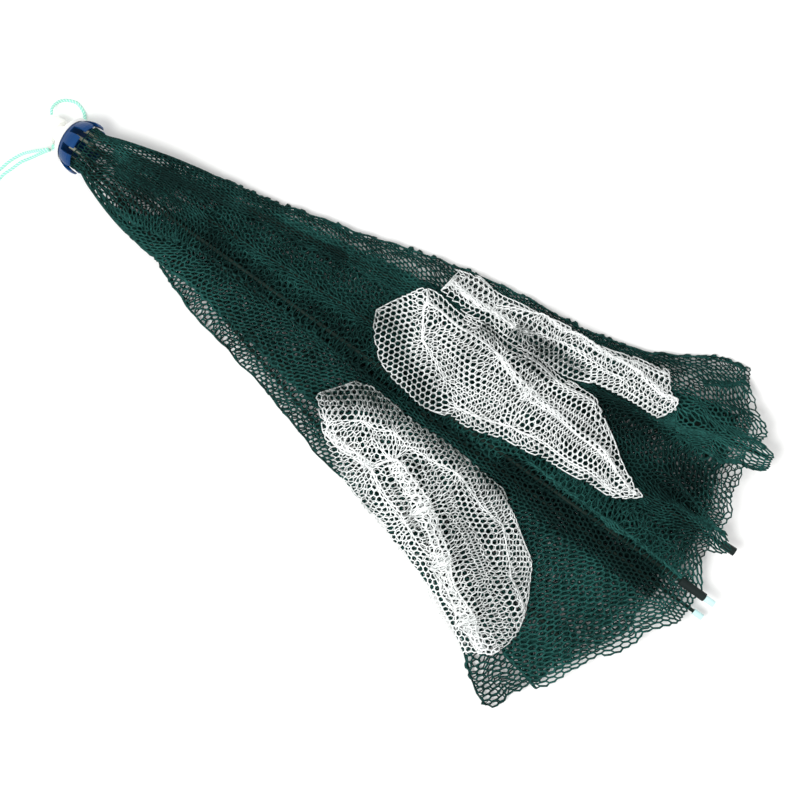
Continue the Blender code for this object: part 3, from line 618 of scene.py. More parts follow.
def panel_height(panel, x, y, pleat_only=False):
    """The height of a panel at a place, level beyond its outer lines."""
    rows = [row for row in PANELS[panel] if row[3] is None or not pleat_only]
    if line_y(rows[0][0], HEM_X) > line_y(rows[-1][0], HEM_X):
        rows = rows[::-1]
    height = line_height(rows[0], x)
    for row, beyond in zip(rows, rows[1:]):
        start, end = line_y(row[0], x), line_y(beyond[0], x)
        share = np.clip((y - start) / (end - start), 0, 1)
        step = line_height(beyond, x) - line_height(row, x)
        height = height + step * share * share * (3 - 2 * share)
        if panel == 0 and row[0] in "abc" and beyond[0] in "abc":
            height = height - SAG * ease(*SAG_X, x) * 4 * share * (1 - share)
    return height + strokes_height(CREASES, x, y) if panel == 0 else height


def top_cloth(x, y):
    """The height of the cover's top cloth, with its soft folds."""
    return panel_height(0, x, y) + strokes_height(SOFT_FOLDS, x, y)


def yarn_share(thickest, place):
    """Yarn as a share of the thickest: from plain, where the place is 0, to all of it at 1."""
    return 1 / thickest + (1 - 1 / thickest) * place


def squareness(x):
    """The power that makes the neck's round section a little square."""
    return 1 - (1 - NECK_SQUARE) * ease(*NECK_SQUARE_X, x)


def neck(x):
    """The neck's middle and half sizes: y, z, half_y, half_z."""
    right, left = line_y("A", x), line_y("E", x)
    top = NECK_TOP[0] + (NECK_TOP[1] - NECK_TOP[0]) * x / STACK_FROM_X
    bottom = NECK_BOTTOM[0] + (NECK_BOTTOM[1] - NECK_BOTTOM[0]) * ease(*NECK_BOTTOM_X, x)
    return (right + left) / 2, (top + bottom) / 2, (right - left) / 2, (top - bottom) / 2


def neck_angle(panel, step, x):
    """Where a line starts round the neck, in degrees from +Y through +Z."""
    given = PANELS[panel][step][3]
    if given is not None:
        return given + 0 * x
    _, middle, _, half = neck(x)
    rise = (panel_height(panel, x, -1000.0, True) - middle) / half
    return 180 - np.degrees(np.arcsin(np.sign(rise) * np.abs(rise) ** (1 / squareness(x))))


def panel_column(panel, step, share, x):
    """y, neck angle, and whether this place is in a pleat, along x."""
    row = PANELS[panel][step]
    y, angle = line_y(row[0], x), neck_angle(panel, step, x)
    if share <= 0:
        return y, angle, row[3] is None
    beyond = PANELS[panel][step + 1]
    y = y + (line_y(beyond[0], x) - y) * share
    angle = angle + (neck_angle(panel, step + 1, x) - angle) * share
    return y, angle, row[3] is None and beyond[3] is None


def cover_columns(finer, fold_steps):
    """Places round the cover's tube: panel, step, share (negative in a fold), place across."""
    columns = []
    for panel, rows in enumerate(PANELS):
        start = line_y(rows[0][0], HEM_X)
        span = line_y(rows[-1][0], HEM_X) - start
        for step, row in enumerate(rows[:-1]):
            count = row[4] * finer
            for i in range(count):
                y = panel_column(panel, step, i / count, HEM_X)[0]
                columns.append((panel, step, i / count, (y - start) / span))
        last = len(rows) - 1
        columns.append((panel, last, 0.0, 1.0))
        columns += [(panel, last, -i / fold_steps, 1.0) for i in range(1, fold_steps)]
    return columns


def cover_column(column, rows):
    """x, y and z of one place round the tube, from the neck to the hem."""
    panel, step, share, place = column
    hem = np.array(HEMS[panel])
    reach = np.interp(place, hem[:, 0], hem[:, 1])
    if 0 < place < 1:
        ragged = wander(HEM_RUN * place, HEM_APART * panel, HEM_SWELL, HEM_START)
        reach = reach + HEM_RAGGED * ragged
    y_at_hem = panel_column(panel, step, share, HEM_X)[0]
    end_x = reach * math.cos(math.atan2(y_at_hem, HEM_X))
    x = COVER_FROM_X + (end_x - COVER_FROM_X) * rows
    stack = ease(NECK_TO_X, STACK_FROM_X, x)
    y, angle, in_pleat = panel_column(panel, step, share, x)
    middle_y, middle_z, half_y, half_z = neck(x)
    below = (panel + 1) % len(PANELS)
    if share < 0:
        _, next_angle, next_in_pleat = panel_column(below, 0, 0.0, x)
        in_pleat = in_pleat and next_in_pleat
        angle = angle + ((next_angle - angle) % 360) * -share
    across, up = np.cos(np.radians(angle)), np.sin(np.radians(angle))
    flare = 1 + FRILL * (1 - ease(*FRILL_X, x))
    neck_y = middle_y + flare * half_y * np.sign(across) * np.abs(across) ** squareness(x)
    neck_z = middle_z + half_z * np.sign(up) * np.abs(up) ** squareness(x)
    flat_y = neck_y + (y - neck_y) * np.maximum(stack, PLEAT_START) if in_pleat else y
    z = panel_height(panel, x, flat_y, in_pleat)
    turn = max(-share, 0.0) * math.pi
    if share < 0:
        z_below = panel_height(below, x, flat_y, in_pleat)
        radius = np.abs(z - z_below) / 2
        z = (z + z_below) / 2 + (z - z_below) / 2 * math.cos(turn)
        flat_y = flat_y + FOLD_SIDES[panel] * FOLD_BULGE * radius * math.sin(turn)
    if in_pleat:
        return np.stack([x, flat_y, z], axis=1)
    y = neck_y + (flat_y - neck_y) * stack
    z = neck_z + (z - neck_z) * stack
    if panel == 0:
        z = z + strokes_height(SOFT_FOLDS, x, y)
    return np.stack([x, y, z], axis=1)


def pile_top(x, y):
    """The height of the cover's top surface, or of the floor beside it."""
    height = 0.0 * x
    for panel, left in ((4, "E"), (2, "C"), (0, "F")):
        on_it = (line_y(left, x) - FOLD_REACH <= y) & (y <= line_y("A", x) + FOLD_REACH)
        height = np.where(on_it, panel_height(panel, x, y) + COVER_WALL / 2, height)
    return height


def soft_pile_top(x, y):
    """The height that cloth lying across the pile takes, bridging its steps."""
    steps = (-1.0, -0.75, -0.5, -0.25, 0.0, 0.25, 0.5, 0.75, 1.0)
    heights = [pile_top(x, y + BRIDGE * o) - BRIDGE_SLOPE * BRIDGE * abs(o) for o in steps]
    return np.max(heights, axis=0)


def smooth_route(points, spacing):
    """Evenly spaced points on a smooth curve through the route's points."""
    points = np.array(points, float)
    chords = np.r_[0, np.cumsum(np.linalg.norm(np.diff(points, axis=0), axis=1))]
    fine_at = np.linspace(0, chords[-1], 40 * len(points))
    slopes = np.gradient(points, chords, axis=0)
    i = np.clip(np.searchsorted(chords, fine_at, side="right") - 1, 0, len(points) - 2)
    width = (chords[i + 1] - chords[i])[:, None]
    t = (fine_at[:, None] - chords[i][:, None]) / width
    fine = between(t, width, points[i], points[i + 1], slopes[i], slopes[i + 1])
    run = np.r_[0, np.cumsum(np.linalg.norm(np.diff(fine, axis=0), axis=1))]
    count = max(int(run[-1] / spacing), 2)
    even = np.linspace(0, run[-1], count + 1)
    return np.stack([np.interp(even, run, fine[:, axis]) for axis in range(3)], axis=1)


# --- Finishes -------------------------------------------------------------------------------


def linear(hex_colour):
    """A colour written as #rrggbb, as the linear numbers that a shader takes."""
    parts = [int(hex_colour[i : i + 2], 16) / 255 for i in (1, 3, 5)]
    return tuple(c / 12.92 if c <= 0.04045 else ((c + 0.055) / 1.055) ** 2.4 for c in parts)


def colour_property(name, hex_colour, description):
    """A colour that a user can change."""
    return bpy.props.FloatVectorProperty(
        name=name,
        description=description,
        subtype="COLOR",
        size=3,
        min=0.0,
        max=1.0,
        default=linear(hex_colour),
    )


def length_property(name, millimetres, description):
    """A length that a user can change."""
    return bpy.props.FloatProperty(
        name=name, description=description, default=millimetres * MM, min=0.0, unit="LENGTH"
    )


class FishingNetSizes(bpy.types.PropertyGroup):
    """Sizes of the yarns and cords."""

    cell: length_property("Cell", 4.0, "Distance between the netting's cells")
    green_yarn: length_property("Green yarn", 0.98, "Thickness of the cover's yarn")
    white_yarn: length_property("White yarn", 0.98, "Thickness of the funnels' yarn")
    cord: length_property("Cord", 2.2, "Diameter of the pull cord")
    strand: length_property("Braid strand", 0.55, "Width of one strand of the braid")


class FishingNetColours(bpy.types.PropertyGroup):
    """Colours of the yarns, cords and plastics."""

    # Painted shade and painted light: the dark green is the yarn in the shade of its folds, and
    # the light green is the yarn where light catches it.
    green: colour_property("Green yarn", "#0e2523", "The cover's yarn in its folds")
    green_lit: colour_property("Light green yarn", "#2c635d", "The cover's yarn where it shines")
    white: colour_property("White yarn", "#fafdfc", "The funnels' yarn on their ridges")
    # Painted shade: the dark white is the funnels' yarn in the shade of their folds and of the
    # cloth over them.
    white_in_shade: colour_property("Unlit white yarn", "#2a3833", "The funnels' yarn in their folds")
    blue: colour_property("Hub", "#083768", "The hub's plastic")
    cap: colour_property("Cap", "#f4f4f0", "The cap's plastic")
    cord: colour_property("Cord", "#8fdcc6", "The pull cord's strands")
    fleck: colour_property("Fleck", "#dff6ee", "The tracer strand of the pull cord")
    # Painted shade: the ribs are as dark as the shaded netting round them.
    rod: colour_property("Rib", "#0c1f1c", "The ribs' lacquered glass fibre")
    rod_root: colour_property("Rib root", "#8f9284", "The bare glass fibre in the hub")
    rubber: colour_property("Sleeve", "#121c1c", "The rubber on the rib ends")
    tip: colour_property("Tip", "#bfe3e3", "The clear tips of the ribs")
    floor: colour_property("Floor", "#f7f7f6", "The floor")


def new_finish(name, roughness):
    """A material with one Principled shader: its tree and that shader."""
    made = bpy.data.materials.new(name)
    made.use_nodes = True
    shader = made.node_tree.nodes["Principled BSDF"]
    shader.inputs["Roughness"].default_value = roughness
    return made, made.node_tree, shader


def add_node(tree, kind, inputs=(), **settings):
    """A node with its settings, and its inputs set or linked by name."""
    node = tree.nodes.new(kind)
    for key, value in settings.items():
        setattr(node, key, value)
    for key, value in dict(inputs).items():
        if isinstance(value, bpy.types.NodeSocket):
            tree.links.new(value, node.inputs[key])
        else:
            node.inputs[key].default_value = value
    return node


def place_of(tree):
    """The place on the object, in metres."""
    return add_node(tree, "ShaderNodeTexCoord").outputs["Object"]


def noise(tree, place, size, detail=2.0):
    """Cloudy values from 0 to 1, with patches of about this size in millimetres."""
    return add_node(
        tree, "ShaderNodeTexNoise", {"Vector": place, "Scale": 1 / (size * MM), "Detail": detail}
    ).outputs["Fac"]


def mixed(tree, share, first, second):
    """A colour between two, by a share."""
    node = add_node(
        tree,
        "ShaderNodeMix",
        {"Factor": share, "A": (*first, 1.0), "B": (*second, 1.0)},
        data_type="RGBA",
    )
    return node.outputs["Result"]


def ramped(tree, value, low, high, to_low=0.0, to_high=1.0):
    """A value between two limits stretched to two others."""
    node = add_node(
        tree,
        "ShaderNodeMapRange",
        {"Value": value, "From Min": low, "From Max": high, "To Min": to_low, "To Max": to_high},
    )
    return node.outputs["Result"]


def bumped(tree, shader, height, depth, strength):
    """Fine relief from a height between 0 and 1, this many millimetres deep."""
    node = add_node(
        tree, "ShaderNodeBump", {"Height": height, "Distance": depth * MM, "Strength": strength}
    )
    tree.links.new(node.outputs["Normal"], shader.inputs["Normal"])


def knitted_finish(name, dark, light, middle, reach, gloss):
    """Knitted polyester yarn: its tone, painted shade in folds and painted light on ridges, bright
    loops, and fibre relief.

    The loops and fibres are drawn coarser than real ones, so that they show.
    """
    made, tree, shader = new_finish(name, 0.62)
    place = place_of(tree)
    tone = add_node(tree, "ShaderNodeAttribute", attribute_name="tone").outputs["Fac"]
    loops = noise(tree, place, 1.6, detail=1.0)
    clouds = noise(tree, place, 30.0)
    # The tone mixes from the dark colour, painted shade, to the light one, painted light.
    share = ramped(tree, tone, -1.0, 1.0, middle - reach, middle + reach)
    for value, spread in ((loops, 0.3), (clouds, 0.16)):
        added = ramped(tree, value, 0.3, 0.7, -spread, spread)
        share = add_node(
            tree, "ShaderNodeMath", {0: share, 1: added}, operation="ADD", use_clamp=True
        ).outputs["Value"]
    tree.links.new(mixed(tree, share, dark, light), shader.inputs["Base Color"])
    tree.links.new(ramped(tree, loops, 0.2, 0.8, 0.5, 0.75), shader.inputs["Roughness"])
    shader.inputs["Specular IOR Level"].default_value = gloss
    bumped(tree, shader, noise(tree, place, 1.1, detail=1.0), 0.25, 0.6)
    return made


def moulded_finish(name, colour, roughness, worn_and_lit, scuff_size, gloss=0.4):
    """Moulded plastic: soft flow clouds, scuffs that are lighter and rougher, and fine relief."""
    made, tree, shader = new_finish(name, roughness)
    place = place_of(tree)
    flow = noise(tree, place, 20.0)
    scuffs = ramped(tree, noise(tree, place, scuff_size, detail=6.0), 0.58, 0.72)
    base = mixed(tree, ramped(tree, flow, 0.3, 0.7, 0.0, 0.25), colour, worn_and_lit)
    node = add_node(
        tree, "ShaderNodeMix", {"A": base, "B": (*worn_and_lit, 1.0)}, data_type="RGBA"
    )
    tree.links.new(ramped(tree, scuffs, 0.0, 1.0, 0.0, 0.35), node.inputs["Factor"])
    tree.links.new(node.outputs["Result"], shader.inputs["Base Color"])
    tree.links.new(
        ramped(tree, scuffs, 0.0, 1.0, roughness, roughness + 0.25), shader.inputs["Roughness"]
    )
    shader.inputs["Specular IOR Level"].default_value = gloss
    bumped(tree, shader, noise(tree, place, 1.2, detail=3.0), 0.1, 0.3)
    return made


def braid_finish(name, strand_colour, tracer, strand):
    """A round braid: strands that cross both ways round the cord, with a pale tracer."""
    made, tree, shader = new_finish(name, 0.7)
    along = add_node(tree, "ShaderNodeUVMap", uv_map="braid").outputs["UV"]
    split = add_node(tree, "ShaderNodeSeparateXYZ", {"Vector": along})
    turns, run = split.outputs["X"], split.outputs["Y"]
    scaled = add_node(tree, "ShaderNodeMath", {0: run, 1: 1 / strand}, operation="MULTIPLY")
    round_it = add_node(tree, "ShaderNodeMath", {0: turns, 1: 8.0}, operation="MULTIPLY")
    waves = []
    for way in ("ADD", "SUBTRACT"):
        place = add_node(
            tree,
            "ShaderNodeMath",
            {0: round_it.outputs["Value"], 1: scaled.outputs["Value"]},
            operation=way,
        )
        half = add_node(
            tree, "ShaderNodeMath", {0: place.outputs["Value"], 1: 2.0}, operation="PINGPONG"
        )
        waves.append(half.outputs["Value"])
    cross = add_node(tree, "ShaderNodeMath", {0: waves[0], 1: waves[1]}, operation="MULTIPLY")
    height = ramped(tree, cross.outputs["Value"], 0.0, 3.0)
    colour = mixed(tree, ramped(tree, waves[0], 1.45, 1.6), strand_colour, tracer)
    tree.links.new(colour, shader.inputs["Base Color"])
    tree.links.new(ramped(tree, height, 0.0, 1.0, 0.8, 0.55), shader.inputs["Roughness"])
    shader.inputs["Sheen Weight"].default_value = 0.2
    bumped(tree, shader, height, 0.2, 0.8)
    return made


def drawn_finish(name, shade_colour, bare):
    """A drawn glass fibre rod: dark with painted shade away from the hub, bare in the hub, and
    fine streaks along it.
    """
    made, tree, shader = new_finish(name, 0.55)
    place = place_of(tree)
    split = add_node(tree, "ShaderNodeSeparateXYZ", {"Vector": place})
    stretch = add_node(
        tree, "ShaderNodeMapping", {"Vector": place, "Scale": (0.04, 1.0, 1.0)}
    ).outputs["Vector"]
    streaks = noise(tree, stretch, 0.9, detail=3.0)
    # Painted shade: away from the hub the rod takes the dark of the netting round it.
    shadowed = mixed(tree, ramped(tree, streaks, 0.3, 0.7, 0.0, 0.06), shade_colour, bare)
    node = add_node(tree, "ShaderNodeMix", {"A": (*bare, 1.0), "B": shadowed}, data_type="RGBA")
    shade_from, shade_to = ((x - BOX_MIDDLE[0]) * MM for x in ROD_SHADE_X)
    from_root = ramped(tree, split.outputs["X"], shade_from, shade_to)
    tree.links.new(from_root, node.inputs["Factor"])
    tree.links.new(node.outputs["Result"], shader.inputs["Base Color"])
    shader.inputs["Specular IOR Level"].default_value = 0.05
    bumped(tree, shader, streaks, 0.08, 0.4)
    return made


# --- Making pieces --------------------------------------------------------------------------


def alone(piece):
    """Only this piece is selected and active."""
    bpy.ops.object.select_all(action="DESELECT")
    bpy.context.view_layer.objects.active = piece
    piece.select_set(True)


def new_piece(name, points, faces):
    """A linked mesh object of points in millimetres of the tables, placed in the row's frame."""
    mesh = bpy.data.meshes.new(name)
    mesh.from_pydata(((np.asarray(points) - BOX_MIDDLE) * MM).tolist(), [], faces.tolist())
    piece = bpy.data.objects.new(name, mesh)
    bpy.context.scene.collection.objects.link(piece)
    alone(piece)
    return piece


def dressed(piece, finish, slot, *nodes):
    """The piece takes its finish, rides on the net, and stands for its CAD solids."""
    piece.data.materials.clear()
    piece.data.materials.append(finish)
    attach(piece, "root")
    if nodes:
        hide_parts(*nodes)


def refinished(node, finish):
    """A solid whose form is right keeps it and takes its real finish."""
    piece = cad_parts[node]
    for held in piece.material_slots:
        held.material = finish


def knitted(name, points, cells, yarn, height, painted_light_strokes, thick):
    """Netting: each cell's edges become yarn, so many times taller than wide, with painted light
    and shade as its tone.
    """
    piece = new_piece(name, points, cells)
    bpy.ops.object.modifier_add(type="WIREFRAME")
    strands = piece.modifiers[-1]
    strands.thickness = yarn
    strands.use_even_offset = False
    strands.use_relative_offset = False
    strands.use_boundary = True
    strands.use_replace = True
    group = piece.vertex_groups.new(name="thick")
    for vertex, weight in enumerate(thick):
        group.add([vertex], float(weight), "REPLACE")
    strands.vertex_group = group.name
    bpy.ops.object.modifier_apply(modifier=strands.name)
    mesh = piece.data
    places = np.empty(len(mesh.vertices) * 3, np.float32)
    mesh.vertices.foreach_get("co", places)
    places = places.reshape(-1, 3)
    pairs = places[: 2 * len(points)].reshape(-1, 2, 3)
    middles = pairs.mean(axis=1, keepdims=True)
    pairs[:] = middles + (pairs - middles) * height
    mesh.vertices.foreach_set("co", places.reshape(-1))
    x, y, _ = (places / MM + BOX_MIDDLE).T
    # The tone attribute carries the painted light and painted shade of the strokes.
    tone = mesh.attributes.new("tone", "FLOAT", "POINT")
    tone.data.foreach_set("value", strokes_height(painted_light_strokes, x, y).astype(np.float32))
    mesh.update()
    bpy.ops.object.shade_smooth()
    return piece


def honeycomb(columns, rows, pitch):
    """Middles of hexagons, and the places of their corners on a grid of half steps."""
    i, j = (a.reshape(-1) for a in np.meshgrid(columns, rows, indexing="ij"))
    middle = np.stack([3 * i, 2 * j + i % 2], axis=1)
    corners = middle[:, None] + np.array([(2, 0), (1, 1), (-1, 1), (-2, 0), (-1, -1), (1, -1)])
    step = np.array([pitch / math.sqrt(3) / 2, pitch / 2])
    return middle * step, corners, step


def shared_corners(corners, step):
    """Each corner once, with its place, its faces, and how many cells meet there."""
    keys, cells = np.unique(corners.reshape(-1, 2), axis=0, return_inverse=True)
    cells = cells.reshape(-1, 6)
    return keys * step, cells, np.bincount(cells.reshape(-1))


def columns_across(low, high, side):
    """The columns of hexagons with this side that cover a width."""
    return np.arange(int(low / side / 1.5) - 1, int(high / side / 1.5) + 2)


def gore_cells(pitch, inner, outer, half_angle):
    """One gore cut from flat netting: its corners as (radius, angle), and its cells."""
    side = pitch / math.sqrt(3)
    columns = columns_across(inner * math.cos(half_angle), outer, side)
    widest = int(outer * math.sin(half_angle) / pitch) + 2
    middle, corners, step = honeycomb(columns, np.arange(-widest, widest + 1), pitch)
    radius, angle = np.hypot(*middle.T), np.arctan2(middle[:, 1], middle[:, 0])
    kept = (radius > inner) & (radius < outer - side) & (np.abs(angle) < half_angle)
    places, cells, met = shared_corners(corners[kept], step)
    radius, angle = np.hypot(*places.T), np.arctan2(places[:, 1], places[:, 0])
    rim, near = met < 3, NEAR_EDGE * side
    seam = rim & ((half_angle - np.abs(angle)) * radius < near)
    angle = np.where(seam, np.sign(angle) * half_angle, angle)
    radius = np.where(rim & (radius - inner < near) & ~seam, inner, radius)
    return np.clip(radius, inner, outer), np.clip(angle, -half_angle, half_angle), cells


def on_grid(grid, rows, columns, v, u):
    """Places on a grid of points, at row values v and each row's own column values u."""
    i = np.clip(np.searchsorted(rows, v, side="right") - 1, 0, len(rows) - 2)
    s = ((v - rows[i]) / (rows[i + 1] - rows[i]))[:, None]
    places = 0
    for row, weight in ((i, 1 - s), (i + 1, s)):
        own = columns[row]
        j = np.clip((own <= u[:, None]).sum(axis=1) - 1, 0, own.shape[1] - 2)
        k = np.arange(len(u))
        start, end = own[k, j], own[k, j + 1]
        t = np.clip((u - start) / np.maximum(end - start, 1e-9), 0, 1)[:, None]
        places = places + weight * (grid[row, j] * (1 - t) + grid[row, j + 1] * t)
    return places


def cover_grid():
    """The folded cover as a fine grid, with its rows, and its columns by cloth width."""
    rows = np.linspace(0, 1, GRID_ROWS) ** ROW_CROWDING
    columns = cover_columns(COLUMN_SPLIT, FOLD_STEPS)
    grid = np.stack([cover_column(column, rows) for column in columns], axis=1)
    layer = np.array([column[0] for column in columns])
    loose = WANDER * ease(*WANDER_X, grid[:, :, 0])
    x, y = grid[:, :, 0].copy(), grid[:, :, 1].copy()
    grid[:, :, 0] += loose * wander(x, y, WANDER_SIZE, WANDER_LAYER * layer)
    grid[:, :, 1] += loose * wander(x, y, WANDER_SIZE, WANDER_LAYER * layer + WANDER_ACROSS)
    grid = np.concatenate([grid, grid[:, :1]], axis=1)
    widths = np.linalg.norm(np.diff(grid[:, :, 1:], axis=1), axis=2)
    widths = widths * (1 + strokes_height(GATHERS, grid[:, :-1, 0], grid[:, :-1, 1]))
    run = np.concatenate([np.zeros((len(grid), 1)), np.cumsum(widths, axis=1)], axis=1)
    run /= run[:, -1:]
    spread = ease(GATHERED_TO_X, SPREAD_FROM_X, grid[:, :1, 0])
    return grid, rows, run * (1 - spread) + run[-1] * spread


def pleated(places):
    """The top cloth's places, folded over itself along its pleats."""
    x, y, z = places.T
    share = ease(*PLEATED, x) * (1 - ease(*LAYER_DEPTH, np.abs(z - top_cloth(x, y))))
    drawn_x, drawn_y, step = pulled(PLEATS, x, y)
    lift = PLEAT_HEIGHT * (strokes_height(PLEATS, drawn_x, drawn_y) + step)
    moved = np.stack([drawn_x, drawn_y, z + lift], axis=1)
    return places + share[:, None] * (moved - places)


def dense_yarn(places):
    """Each place's share of the thickest yarn, so that pleats and gathers hide what is below."""
    x, y, z = places.T
    under_top = ease(*LAYER_DEPTH, top_cloth(x, y) - z)
    gathered = np.clip(strokes_height(GATHERS, x, y) / GATHERED_FULL, 0, 1)
    inside = ease(*LAYER_DEPTH, z) * np.maximum(under_top * ease(*DENSE_X, x), gathered)
    return yarn_share(INNER_YARN, inside)


def cover_pieces(pitch):
    """For each piece of the cover: its corners, cells, yarn shares, and flat width and area."""
    grid, rows, columns = cover_grid()
    spread = (HEM_CUT - HUB_CUT) / CLOTH_LENGTH
    inner = HUB_CUT / spread
    outer = inner + CLOTH_LENGTH
    half = spread / GORES / 2
    radius, angle, cells = gore_cells(pitch, inner, outer, half)
    v = (radius - inner) / CLOTH_LENGTH
    across = (angle / half + 1) / 2
    gores_each = GORES // PIECES
    for piece in range(PIECES):
        points, faces, thick = [], [], []
        for gore in range(piece * gores_each, (piece + 1) * gores_each):
            faces.append(cells + len(radius) * (gore - piece * gores_each))
            places = on_grid(grid, rows, columns, v, (gore + across) / GORES)
            points.append(pleated(places))
            thick.append(dense_yarn(places))
        width = 2 * outer * math.sin(half * gores_each)
        area = half * gores_each * (outer**2 - inner**2)
        yield *(np.concatenate(part) for part in (points, faces, thick)), width, area


def funnel_outline(table, turn):
    """The low and the high edge of a laid funnel, and its rise, along and across its own axis."""
    table = np.array(table)
    axes = np.array([(math.cos(turn), -math.sin(turn)), (math.sin(turn), math.cos(turn))])
    low, high = table[:, 0:2] @ axes, table[:, 2:4] @ axes
    rise = np.stack([(low[:, 0] + high[:, 0]) / 2, table[:, 4]], axis=1)
    first = min(low[0], high[0], key=lambda point: point[0])
    last = max(low[-1], high[-1], key=lambda point: point[0])
    low, high = (np.array([first, *edge[:-1], last]) for edge in (low, high))
    return low, high, rise


def funnel_cells(table, turn, folds, pitch):
    """A funnel in two layers: its corners, cells, yarn shares, and flat width, length and area."""
    low, high, rise = funnel_outline(table, turn)
    start, end = low[0, 0], low[-1, 0]
    side = pitch / math.sqrt(3)
    rows = np.arange(int(start / pitch) - 1, int(end / pitch) + 2)
    columns = columns_across(low[:, 1].min(), high[:, 1].max(), side)
    middle, corners, step = honeycomb(columns, rows, pitch)
    ahead, across = middle[:, 1], middle[:, 0]
    kept = (np.interp(ahead, *low.T) < across) & (across < np.interp(ahead, *high.T))
    kept &= (start < ahead) & (ahead < end)
    places, cells, _ = shared_corners(corners[kept], step)
    ahead = np.clip(places[:, 1], start, end)
    bottom, top = np.interp(ahead, *low.T), np.interp(ahead, *high.T)
    share = np.clip((places[:, 0] - bottom) / np.maximum(top - bottom, 0.01), 0, 1)
    across = bottom + (top - bottom) * share
    x = ahead * math.cos(turn) - across * math.sin(turn)
    y = ahead * math.sin(turn) + across * math.cos(turn)
    bulge = np.sin(math.pi * share)
    ridge = np.clip(strokes_height(folds, x, y) / RIDGE_HEIGHT, 0, 1) ** 2
    thick = yarn_share(RIDGE_YARN, np.tile(ridge, 2))
    blunt = bulge**GAP_BLUNT
    gap = FUNNEL_LAYERS * (EDGE_GAP + (1 - EDGE_GAP) * blunt) + np.interp(ahead, *rise.T) * blunt
    drawn_x, drawn_y, pleat = pulled(folds, x, y)
    lift = gap + (strokes_height(folds, drawn_x, drawn_y) + pleat) * bulge**FOLD_BLUNT
    varied = SHIFT_LEAST + SHIFT_VARIES * wander(x, y, SHIFT_SIZE, SHIFT_START)
    slipped = LAYER_SHIFT * varied * ease(0, SHIFT_EDGE, bulge)
    slipped = slipped * np.clip(1 - strokes_height(FUNNEL_OPENINGS, x, y), 0, 1)
    layers = []
    (way_x, size_x, start_x), (way_y, size_y, start_y) = FUNNEL_WANDER
    for x, y, above in ((drawn_x, drawn_y, lift), (x + slipped, y + SHIFT_ACROSS * slipped, 0.0)):
        x = x + way_x * wander(x, y, size_x, start_x)
        y = y + way_y * wander(x, y, size_y, start_y)
        z = soft_pile_top(x, y) + FUNNEL_LIFT + FUNNEL_WALL / 2 + above
        layers.append(np.stack([x, y, z], axis=1))
    stations = np.linspace(start, end, FUNNEL_STATIONS)
    wide = np.interp(stations, *high.T) - np.interp(stations, *low.T)
    area = 2 * float(wide.mean()) * (end - start)
    points, cells = np.concatenate(layers), np.concatenate([cells, cells[:, ::-1] + len(places)])
    return points, cells, thick, 2 * float(wide.max()), float(end - start), area


def tube(name, centres, radius, sides):
    """A closed round tube through the centres, with a map of turns and length for its braid."""
    centres = np.array(centres)
    ahead = np.gradient(centres, axis=0)
    ahead /= np.linalg.norm(ahead, axis=1)[:, None]
    across = np.cross(ahead, (0.0, 0.0, 1.0))
    for k, vector in enumerate(across):
        if np.linalg.norm(vector) < UPRIGHT:
            across[k] = across[k - 1] if k else (1.0, 0.0, 0.0)
    across /= np.linalg.norm(across, axis=1)[:, None]
    up = np.cross(across, ahead)
    turns = np.linspace(0, 2 * math.pi, sides, endpoint=False)[None, :, None]
    ring = across[:, None] * np.cos(turns) + up[:, None] * np.sin(turns)
    points = (centres[:, None] + radius * ring).reshape(-1, 3)
    count = len(centres)
    points = np.concatenate([points, centres[:1], centres[-1:]])
    faces = []
    for i in range(count - 1):
        for j in range(sides):
            k = (j + 1) % sides
            faces.append((i * sides + j, i * sides + k, (i + 1) * sides + k, (i + 1) * sides + j))
    last = (count - 1) * sides
    for j in range(sides):
        k = (j + 1) % sides
        faces.append((j, k, count * sides))
        faces.append((last + k, last + j, count * sides + 1))
    mesh = bpy.data.meshes.new(name)
    mesh.from_pydata(((points - BOX_MIDDLE) * MM).tolist(), [], faces)
    run = np.r_[0, np.cumsum(np.linalg.norm(np.diff(centres, axis=0), axis=1))] * MM
    layer = mesh.uv_layers.new(name="braid")
    for polygon in mesh.polygons:
        first = polygon.vertices[0]
        for loop in polygon.loop_indices:
            vertex = mesh.loops[loop].vertex_index
            ring_index, side = divmod(min(vertex, count * sides - 1), sides)
            if side == 0 and first < count * sides and first % sides == sides - 1:
                side = sides
            layer.data[loop].uv = (side / sides, run[min(ring_index, count - 1)])
    piece = bpy.data.objects.new(name, mesh)
    bpy.context.scene.collection.objects.link(piece)
    alone(piece)
    bpy.ops.object.mode_set(mode="EDIT")
    bpy.ops.mesh.select_all(action="SELECT")
    bpy.ops.mesh.normals_make_consistent(inside=False)
    bpy.ops.object.mode_set(mode="OBJECT")
    bpy.ops.object.shade_smooth()
    return piece


# --- Operators ------------------------------------------------------------------------------


